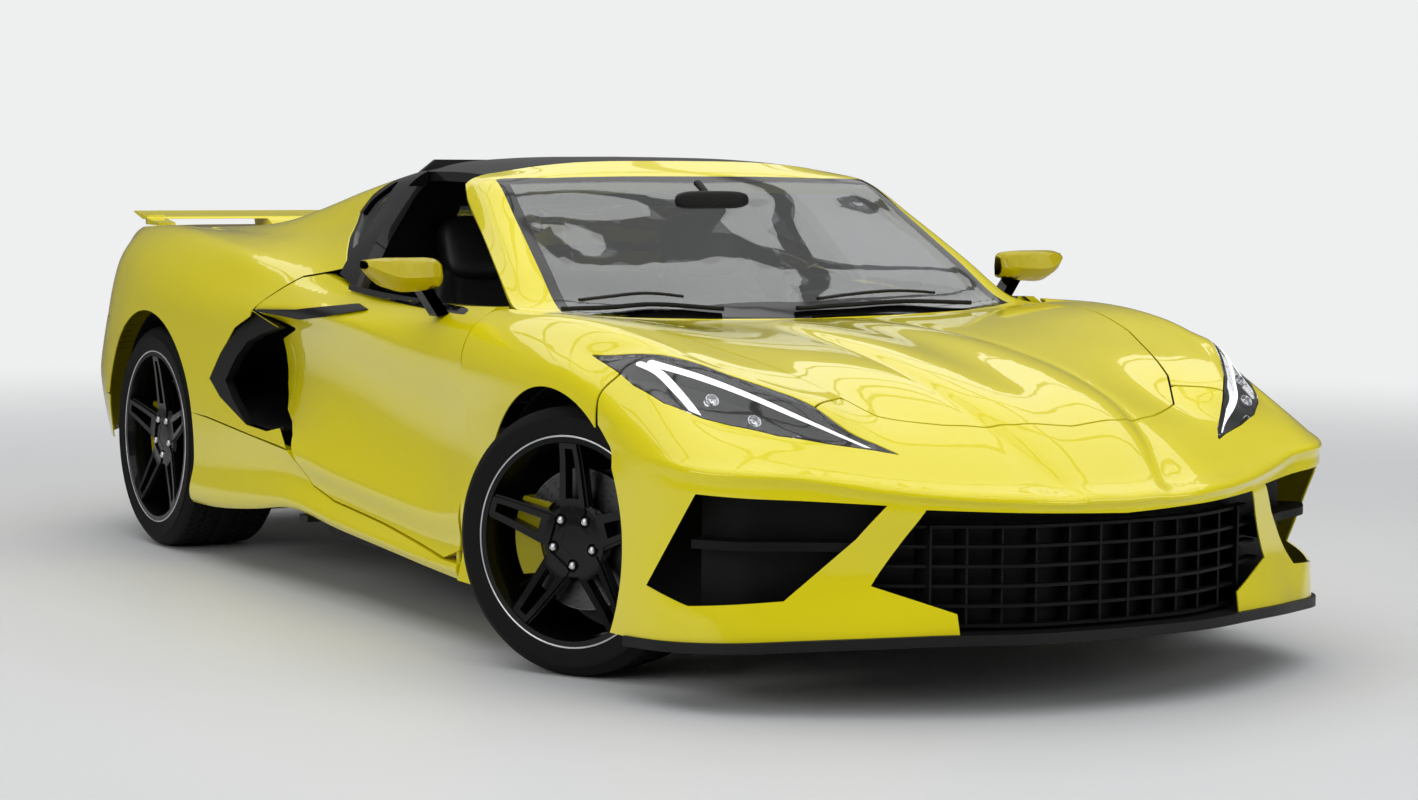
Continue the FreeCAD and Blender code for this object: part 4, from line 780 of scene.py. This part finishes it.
class COUPE_OT_wheels(bpy.types.Operator):
    """Makes treaded tyres, painted rims with a bare flange line, lug nuts and turned brake discs"""
    bl_idname = "coupe.wheels"
    bl_label = "Wheels"
    # Depths from the tyre's outer side: the bare line and its height, the nuts' feet, the disc's hat
    LINE_INSET = 0.0055
    LINE_RISE = 0.0012
    NUT_INSET = 0.042
    DISC_INSET = 0.064
    NUT_CIRCLE = 0.060

    def execute(self, context):
        sizes = context.scene.coupe_sizes
        tread = rubber("tyre_rubber")
        enamel = lacquer("rim_enamel", (0.0018, 0.0018, 0.002), 0.3, 0.3)
        bare = cast_metal("bare_flange", (0.75, 0.75, 0.77), 0.25)
        steel = turned_steel("turned_disc")
        for end, (radius, width, rim) in WHEELS.items():
            for side in SIDES:
                where = "%s_%s" % (end, side)
                wheel = where + "_wheel"
                tyre = at_wheel(*tyre_shape(radius, width, rim, sizes.tread_depth), end, side)
                finished(where + "_treaded_tyre", tyre, tread, wheel, "tread", where + "_tyre", crease=40)
                welded(where + "_rim", enamel)
                x = width / 2 - self.LINE_INSET
                top = x + self.LINE_RISE
                edge = rim + sizes.flange_line
                loop = [(x, rim + 0.001), (top, rim + 0.0016), (top, edge), (x, edge + 0.001)]
                line = at_wheel(*lathe(loop, 160), end, side)
                finished(where + "_flange_line", line, bare, wheel, "rim_paint")
                self.nuts(where, end, side, width / 2 - self.NUT_INSET, bare)
                self.disc(where, end, side, width / 2 - self.DISC_INSET, steel)
        return {"FINISHED"}

    def nuts(self, where, end, side, foot, material):
        """Five domed nuts on a circle, 72 degrees apart."""
        profile = [(0.0, 0.0105), (0.012, 0.0105), (0.0155, 0.009), (0.018, 0.006), (0.019, 0.0005)]
        nut = lathe(profile, 12)
        parts = []
        for k in range(5):
            t = math.radians(72 * k + 36)
            parts.append(moved(nut, (foot, self.NUT_CIRCLE * math.sin(t), self.NUT_CIRCLE * math.cos(t))))
        finished(where + "_lug_nuts", at_wheel(*joined(parts), end, side), material, where + "_wheel",
                 "rim_paint")

    def disc(self, where, end, side, x, material):
        """Disc face and hat as one turned profile, charted by turn and radius."""
        near = x - 0.012
        far = x - 0.040
        hat = x - 0.0005
        profile = np.array([(hat, 0.074), (x - 0.0125, 0.078), (near, 0.080), (near, 0.170),
                            (x - 0.0135, 0.172), (x - 0.0385, 0.172), (far, 0.170), (far, 0.072),
                            (near, 0.066), (hat, 0.064)])
        steps = 96
        points, faces = lathe(profile, steps)
        turn = np.tile(np.linspace(0, 1, steps, endpoint=False), len(profile))
        chart = np.stack([turn, np.repeat(profile[:, 1], steps)], -1)
        finished(where + "_turned_disc", at_wheel(points, faces, end, side), material, where + "_wheel",
                 "disc_steel", crease=30, chart=chart)
        paint_node(where + "_disc", material)


class COUPE_OT_headlamps(bpy.types.Operator):
    """Adds the light strips and the projectors of the headlamps"""
    bl_idname = "coupe.headlamps"
    bl_label = "Headlamps"
    # Routes of the two strips in (x, y), each with its width at the start and end as a share
    LONG = [(0.826, -1.560), (0.770, -1.690), (0.701, -1.800), (0.629, -1.903), (0.540, -1.973),
            (0.496, -2.018)]
    SHORT = [(0.842, -1.534), (0.828, -1.602), (0.818, -1.678), (0.812, -1.727), (0.811, -1.765)]
    STRIPS = ((LONG, 1.5, 0.45), (SHORT, 1.2, 0.8))
    # Each projector's x, y and radius
    PROJECTORS = ((0.772, -1.742, 0.017), (0.716, -1.838, 0.017), (0.652, -1.925, 0.015))
    STRIP_LIGHT = 1.1
    STRIP_DROP = -0.013
    PROJECTOR_DROP = -0.024
    LEAN = math.radians(38.0)

    def execute(self, context):
        width = context.scene.coupe_sizes.lamp_strip
        light = glow("lamp_light", (1.0, 1.0, 1.0), self.STRIP_LIGHT)
        tree = surface_of("headlamp_lenses")
        for side, sign in SIDES.items():
            parts = []
            for route, wide, thin in self.STRIPS:
                spots = dropped(tree, [(x * sign, y) for x, y in route], self.STRIP_DROP)
                path = smooth_path(spots, 48)
                taper = np.linspace(wide, thin, len(path))
                parts.append(tube(path, oval(width, width * 0.35, 12, 4.0), scale=taper))
            finished(side + "_light_strips", joined(parts), light, "body", "lamp_lens")
            self.modules(side, sign, tree)
        return {"FINISHED"}

    def modules(self, side, sign, tree):
        """Projectors behind the strips: each is a bright ring round a domed eye."""
        chrome = cast_metal("lamp_chrome", (0.62, 0.63, 0.65), 0.1)
        clear = glass("projector_eye", (0.75, 0.8, 0.85))
        rings = []
        eyes = []
        for x, y, radius in self.PROJECTORS:
            spot = dropped(tree, [(x * sign, y)], self.PROJECTOR_DROP)[0]
            ring = [(0.0, radius), (0.012, radius), (0.014, radius * 0.92), (0.010, radius * 0.78),
                    (0.0, radius * 0.75)]
            dome = [(0.003, 0.0002), (0.0085, 0.0002), (0.006, radius * 0.55), (0.003, radius * 0.74)]
            rings.append(self.leant(ring, spot))
            eyes.append(self.leant(dome, spot))
        finished(side + "_lamp_rings", joined(rings), chrome, "body", "tip_chrome")
        finished(side + "_lamp_eyes", joined(eyes), clear, "body", "lamp_lens")

    def leant(self, profile, spot):
        """A turned profile that faces forwards and leans back: its x axis becomes (-cos, sin) in (y, z)."""
        points, faces = lathe(profile, 32)
        c, s = math.cos(self.LEAN), math.sin(self.LEAN)
        x, y, z = points.T
        return np.stack([y, z * s - x * c, x * s + z * c], -1) + spot, faces


class COUPE_OT_belt(bpy.types.Operator):
    """Adds the black belt trim under the side windows"""
    bl_idname = "coupe.belt"
    bl_label = "Belt trim"
    PROUD = 0.0015
    SUNK = 0.004
    # Places along Y, each with the heights of the lower and the upper edge
    EDGES = [(-0.640, 0.838, 0.839), (-0.613, 0.836, 0.849), (-0.412, 0.838, 0.861),
             (-0.199, 0.843, 0.865), (0.013, 0.852, 0.872), (0.130, 0.862, 0.877)]

    def execute(self, context):
        trim = lacquer("belt_black", context.scene.coupe_colours.roof, 0.25)
        path = smooth_path(self.EDGES, 48)
        share = np.linspace(0, 1, 6)[:, None, None]
        grid = path[:, :2] * (1 - share) + path[:, ::2] * share
        for side in SIDES:
            strip = on_flank(surface_of(side + "_door"), side, grid, self.PROUD, self.SUNK)
            finished(side + "_belt_trim", strip, trim, side + "_door", "black_plastic", crease=40)
        return {"FINISHED"}


class COUPE_OT_wipers(bpy.types.Operator):
    """Lays two wipers along the foot of the windscreen"""
    bl_idname = "coupe.wipers"
    bl_label = "Wipers"
    # Each blade's route in (x, y)
    ROUTES = [[(-0.70, -0.860), (-0.56, -0.850), (-0.42, -0.845), (-0.24, -0.885)],
              [(-0.02, -0.895), (0.16, -0.880), (0.35, -0.860), (0.55, -0.870)]]
    # Heights of a blade over the glass, of its arm over the blade, and of the arm's hump
    BLADE_LIFT = 0.012
    ARM_LIFT = 0.016
    ARM_HUMP = 0.014

    def execute(self, context):
        black = moulding("wiper_black", (0.006, 0.006, 0.006), 0.55, 0.1)
        tree = surface_of("windscreen", "windscreen_frame")
        parts = []
        for route in self.ROUTES:
            path = smooth_path(dropped(tree, route, self.BLADE_LIFT), 32)
            parts.append(tube(path, oval(0.016, 0.012, 10, 3.0)))
            arm = path.copy()
            arm[:, 2] += self.ARM_LIFT + self.ARM_HUMP * np.sin(np.linspace(0, np.pi, len(path)))
            parts.append(tube(arm[4:-6], oval(0.022, 0.008, 10, 4.0)))
        finished("wipers", joined(parts), black, "body", "black_plastic")
        return {"FINISHED"}


class COUPE_OT_tail(bpy.types.Operator):
    """Adds the blank plate and the slatted vents"""
    bl_idname = "coupe.tail"
    bl_label = "Tail"
    # The plate's half width, height and half height, and a vent's x, z, half width and half height
    PLATE = (0.215, 0.635, 0.052)
    VENT = (0.735, 0.610, 0.095, 0.038)
    # How far the plate's two sides and the slats stand off the skin
    PLATE_SIDES = (0.006, 0.001)
    SLAT_OFF = 0.001

    def execute(self, context):
        tree = surface_of("tail_cover", "rear_wings")
        black = moulding("tail_black", context.scene.coupe_colours.trim, 0.4, 0.15)
        blank = Finish("blank_plate")
        film = blank.noise(40.0, 3.0)
        white = blank.surface(Base_Color=blank.mix(film, (0.62, 0.62, 0.61), (0.68, 0.68, 0.67)),
                              Roughness=0.3 + 0.1 * film, Normal=blank.bump(film, 0.1, 0.0005))
        wide, high, half = self.PLATE
        grid = self.panel(tree, 0.0, high, wide, half, 9, 24)
        points, faces = slab(*(grid + np.array([0.0, off, 0.0]) for off in self.PLATE_SIDES))
        finished("blank_plate", (points, faces[:, ::-1]), white, "body", "alloy")
        x, z, wide, high = self.VENT
        parts = []
        for sign in SIDES.values():
            for k in range(5):
                level = z - high + k * high / 2
                line = self.panel(tree, sign * x, level, wide * (1 - 0.08 * abs(k - 2)), 0.0, 1, 16)[0]
                line = line + np.array([0.0, self.SLAT_OFF, 0.0])
                parts.append(tube(line, oval(0.010, 0.006, 8, 3.0)))
        finished("tail_vents", joined(parts), black, "body", "black_plastic")
        return {"FINISHED"}

    @staticmethod
    def panel(tree, x, z, half_x, half_z, rows, columns):
        """Grid of points on the tail skin round (x, z), found by rays from behind, along -Y."""
        out = np.zeros((rows, columns, 3))
        for r, dz in enumerate(np.linspace(-half_z, half_z, rows)):
            for c, dx in enumerate(np.linspace(-half_x, half_x, columns)):
                y = met(tree, (x + dx, BEHIND, z + dz), (0, -1, 0), 1)
                out[r, c] = (x + dx, y, z + dz)
        out[..., 1] = filled(out[..., 1])
        return out


class COUPE_OT_cabin(bpy.types.Operator):
    """Adds the inner mirror and the two display screens"""
    bl_idname = "coupe.cabin"
    bl_label = "Cabin"
    MIRROR_HALF = (0.115, 0.018, 0.034)
    MIRROR_AT = (0.0, -0.405, 1.115)
    STALK = [(0.0, -0.392, 1.125), (0.0, -0.360, 1.150), (0.0, -0.322, 1.172)]
    # Half sizes and place of the driver's and of the middle screen
    SCREENS = (((0.15, 0.010, 0.055), (0.37, -0.488, 0.815)),
               ((0.095, 0.010, 0.075), (0.02, -0.486, 0.79)))

    def execute(self, context):
        black = moulding("cabin_black", (0.004, 0.004, 0.0045), 0.5, 0.2)
        mirror = moved(puffed(self.MIRROR_HALF, 4.0, None, 20, 40), self.MIRROR_AT)
        stalk = tube(smooth_path(self.STALK, 12), oval(0.022, 0.014, 10))
        finished("inner_mirror", joined([mirror, stalk]), black, "body", "black_plastic")
        display = Finish("display_glass")
        grime = display.noise(6.0, 3.0)
        dark = display.surface(Base_Color=display.mix(grime, (0.002, 0.002, 0.003), (0.004, 0.004, 0.006)),
                               Roughness=0.05 + 0.05 * grime, Coat_Weight=1.0)
        parts = [moved(puffed(half, 7.0, None, 16, 32), place) for half, place in self.SCREENS]
        finished("displays", joined(parts), dark, "body", "gloss_black")
        return {"FINISHED"}


class COUPE_OT_seats(bpy.types.Operator):
    """Makes the two bucket seats with bolsters, sewn channels and headrests"""
    bl_idname = "coupe.seats"
    bl_label = "Seats"
    # Half sizes of the cushion, backrest and headrest, and the places of their middles
    CUSHION = (0.24, 0.245, 0.08)
    BACK = (0.23, 0.33, 0.06)
    HEAD = (0.125, 0.10, 0.045)
    CUSHION_AT = (0.0, -0.09, 0.29)
    BACK_AT = (0.0, 0.19, 0.62)
    HEAD_AT = (0.0, 0.30, 0.965)
    SEAT_X = 0.37
    LEAN = math.radians(66)
    # The share of the half width where a bolster starts, and the places of the cross channels
    BOLSTER = 0.58
    BOLSTER_SEAM = 0.03
    CUSHION_LINES = (-0.10, -0.03, 0.04, 0.11)
    BACK_LINES = (-0.14, -0.06, 0.02, 0.10)
    SEAM_HALF = 0.008

    def execute(self, context):
        material = leather("seat_leather", context.scene.coupe_colours.hide)
        seam = context.scene.coupe_sizes.stitch

        def cushion(grid):
            """The top rises by |x|^4 at the bolsters and by cos 9x in the middle, less the channels."""
            x, y, z, top, side, dips = self.read(grid, self.CUSHION, self.CUSHION_LINES)
            lift = 0.055 * side ** 4 - seam * dips + 0.018 * np.cos(x * 9)
            return np.stack([x, y, z + top * lift], -1)

        def back(grid):
            """As the cushion, with bolsters that fade upwards and the width drawn in at the shoulders."""
            x, y, z, top, side, dips = self.read(grid, self.BACK, self.BACK_LINES)
            high = np.clip((y + 0.3) / 0.6, 0, 1)
            lift = 0.06 * side ** 4 * (1 - 0.5 * high) - seam * dips
            return np.stack([x * (1 - 0.28 * high ** 3), y, z + top * lift], -1)

        form = joined([moved(puffed(self.CUSHION, 5.0, cushion), self.CUSHION_AT),
                       moved(self.leant(*puffed(self.BACK, 4.5, back)), self.BACK_AT),
                       moved(self.leant(*puffed(self.HEAD, 3.5)), self.HEAD_AT)])
        for side, sign in SIDES.items():
            shape = moved(form, (sign * self.SEAT_X, 0.0, 0.0))
            seat = finished(side + "_seat", shape, material, "body", "leather", crease=60)
            if sign > 0:
                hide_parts("seats")
        return {"FINISHED"}

    def read(self, grid, half, lines):
        """x, y, z, how high a point lies, its share of the half width, and the channels there.

        A channel is a bell along each bolster, or across the middle at each line."""
        x, y, z = np.moveaxis(grid, -1, 0)
        side = np.abs(x) / half[0]
        dips = np.exp(-((side - self.BOLSTER) / self.BOLSTER_SEAM) ** 2)
        for line in lines:
            dips = dips + np.exp(-((y - line) / self.SEAM_HALF) ** 2) * (side < self.BOLSTER)
        return x, y, z, np.clip(z / half[2], 0, 1), side, dips

    def leant(self, points, faces):
        """A flat cushion stood up about the X axis by LEAN."""
        c, s = math.cos(self.LEAN), math.sin(self.LEAN)
        x, y, z = points.T
        return np.stack([x, y * c - z * s, y * s + z * c], -1), faces


class COUPE_OT_stage(bpy.types.Operator):
    """Lays the pale floor, hangs the soft lights and sets the camera"""
    bl_idname = "coupe.stage"
    bl_label = "Stage"
    FLOOR_HALF = 12.0
    # Distances from the middle between which the floor fades into the backdrop
    FADE = (3.4, 9.5)
    # Stops of the room's light from straight below to straight above, its strength, and the backdrop
    ROOM = ((0.0, (0.30, 0.30, 0.303)), (0.45, (0.30, 0.30, 0.303)), (0.52, (0.42, 0.42, 0.4242)),
            (1.0, (1.0, 1.0, 1.0)))
    ROOM_LIGHT = 0.50
    BACKDROP = (0.86, 0.865, 0.87)
    # Ceiling panels: how many along Y and X, their spacing, size, first place, height and watts
    CEILING = (7, 4)
    SPACING = (2.1, 2.6)
    PANEL = (2.42, 1.92)
    CEILING_START = (-5.78, -3.3)
    CEILING_HEIGHT = 5.2
    CEILING_WATTS = 16.5
    # Name, place, target, size and watts of the two lamps beside the car
    LAMPS = (("side_panel", (-8.5, -3.5, 3.8), (0.0, 0.0, 0.5), (8.0, 3.4), 200.0),
             ("nose_panel", (4.5, -8.5, 3.4), (0.0, -1.2, 0.5), (7.0, 3.0), 150.0))
    # The camera's place, its turns, focal length and sensor width in millimetres, and far limit
    EYE = (-4.4657, -8.1291, 1.2988)
    YAW = 0.523874
    PITCH = -0.081685
    ROLL = 0.009433
    LENS = 81.72
    SENSOR = 36.0
    FAR = 200.0

    def execute(self, context):
        self.floor()
        context.scene.world = self.room()
        rows, columns = self.CEILING
        for row in range(rows):
            for column in range(columns):
                x = self.CEILING_START[1] + column * self.SPACING[1]
                y = self.CEILING_START[0] + row * self.SPACING[0]
                self.lamp("ceiling_panel_%d_%d" % (row, column), (x, y, self.CEILING_HEIGHT), (x, y, 0.0),
                          self.PANEL, self.CEILING_WATTS)
        for row in self.LAMPS:
            self.lamp(*row)
        context.scene.camera = self.camera()
        context.scene.view_settings.view_transform = "Standard"
        return {"FINISHED"}

    def floor(self):
        """A pale square that turns see-through between the two distances of FADE."""
        mix = Finish("studio_floor")
        tone = mix.noise(0.7, 4.0)
        reach = mix.node("ShaderNodeVectorMath", {0: mix.at}, "Value", operation="LENGTH")
        near, far = self.FADE
        fade = mix.node("ShaderNodeMapRange", {"Value": reach, "From Min": near, "From Max": far},
                        interpolation_type="SMOOTHSTEP")
        lit = mix.shader(Base_Color=mix.mix(tone, (0.70, 0.71, 0.72), (0.74, 0.75, 0.76)), Roughness=0.5,
                         Specular_IOR_Level=0.25)
        clear = mix.node("ShaderNodeBsdfTransparent")
        look = mix.ended(mix.blended(fade, lit, clear))
        half = self.FLOOR_HALF
        points = np.array([(-half, -half, 0.0), (half, -half, 0.0), (half, half, 0.0), (-half, half, 0.0)])
        mesh_piece("studio_floor", points, np.array([[0, 1, 2, 3]]), look, smooth=False)

    def room(self):
        """Pale room all round: its floor half is darker, and the camera sees one even backdrop."""
        mix = Finish("studio_room", world=True)
        ahead = mix.node("ShaderNodeTexCoord", None, "Generated")
        height = mix.node("ShaderNodeSeparateXYZ", {0: ahead}, 2)
        light = mix.node("ShaderNodeBackground", {0: mix.ramp(height, self.ROOM), 1: self.ROOM_LIGHT})
        wall = mix.node("ShaderNodeBackground", {0: self.BACKDROP})
        seen = mix.node("ShaderNodeLightPath", None, "Is Camera Ray")
        return mix.ended(mix.blended(seen, light, wall))

    @staticmethod
    def lamp(name, place, target, size, power):
        """A rectangular lamp at a place, turned to its target."""
        data = bpy.data.lights.new(name, "AREA")
        data.shape = "RECTANGLE"
        data.size, data.size_y = size
        data.energy = power
        lamp = placed(name, data)
        lamp.location = place
        lamp.rotation_euler = (Vector(target) - Vector(place)).to_track_quat("-Z", "Y").to_euler()

    def camera(self):
        """The photograph's view: yaw turns from +Y towards +X, pitch lifts, roll turns about the sight."""
        data = bpy.data.cameras.new("view")
        data.lens = self.LENS
        data.sensor_fit = "HORIZONTAL"
        data.sensor_width = self.SENSOR
        data.clip_end = self.FAR
        flat = math.cos(self.PITCH)
        ahead = Vector((math.sin(self.YAW) * flat, math.cos(self.YAW) * flat, math.sin(self.PITCH)))
        level = ahead.cross(Vector((0, 0, 1))).normalized()
        top = level.cross(ahead)
        c, s = math.cos(self.ROLL), math.sin(self.ROLL)
        right = c * level + s * top
        up = c * top - s * level
        turn = Matrix((right, up, -ahead)).transposed()
        camera = placed("view", data)
        camera.matrix_world = Matrix.Translation(Vector(self.EYE)) @ turn.to_4x4()
        return camera


OPERATORS = [COUPE_OT_panels, COUPE_OT_glazing, COUPE_OT_metalwork, COUPE_OT_wheels, COUPE_OT_headlamps,
             COUPE_OT_belt, COUPE_OT_tail, COUPE_OT_cabin, COUPE_OT_wipers, COUPE_OT_seats, COUPE_OT_stage]


class COUPE_PT_parts(bpy.types.Panel):
    """Lists the steps that dress the car"""
    bl_label = "Sports coupe"
    bl_space_type = "VIEW_3D"
    bl_region_type = "UI"
    bl_category = "Coupe"

    def draw(self, context):
        for step in OPERATORS:
            self.layout.operator(step.bl_idname)


CLASSES = [CoupeColours, CoupeSizes, *OPERATORS, COUPE_PT_parts]


def register():
    for kind in CLASSES:
        bpy.utils.register_class(kind)
    bpy.types.Scene.coupe_colours = bpy.props.PointerProperty(type=CoupeColours)
    bpy.types.Scene.coupe_sizes = bpy.props.PointerProperty(type=CoupeSizes)


def unregister():
    del bpy.types.Scene.coupe_sizes
    del bpy.types.Scene.coupe_colours
    for kind in reversed(CLASSES):
        bpy.utils.unregister_class(kind)


def main():
    register()
    for step in OPERATORS:
        getattr(bpy.ops.coupe, step.bl_idname.split(".")[1])()


if __name__ == "__main__":
    main()
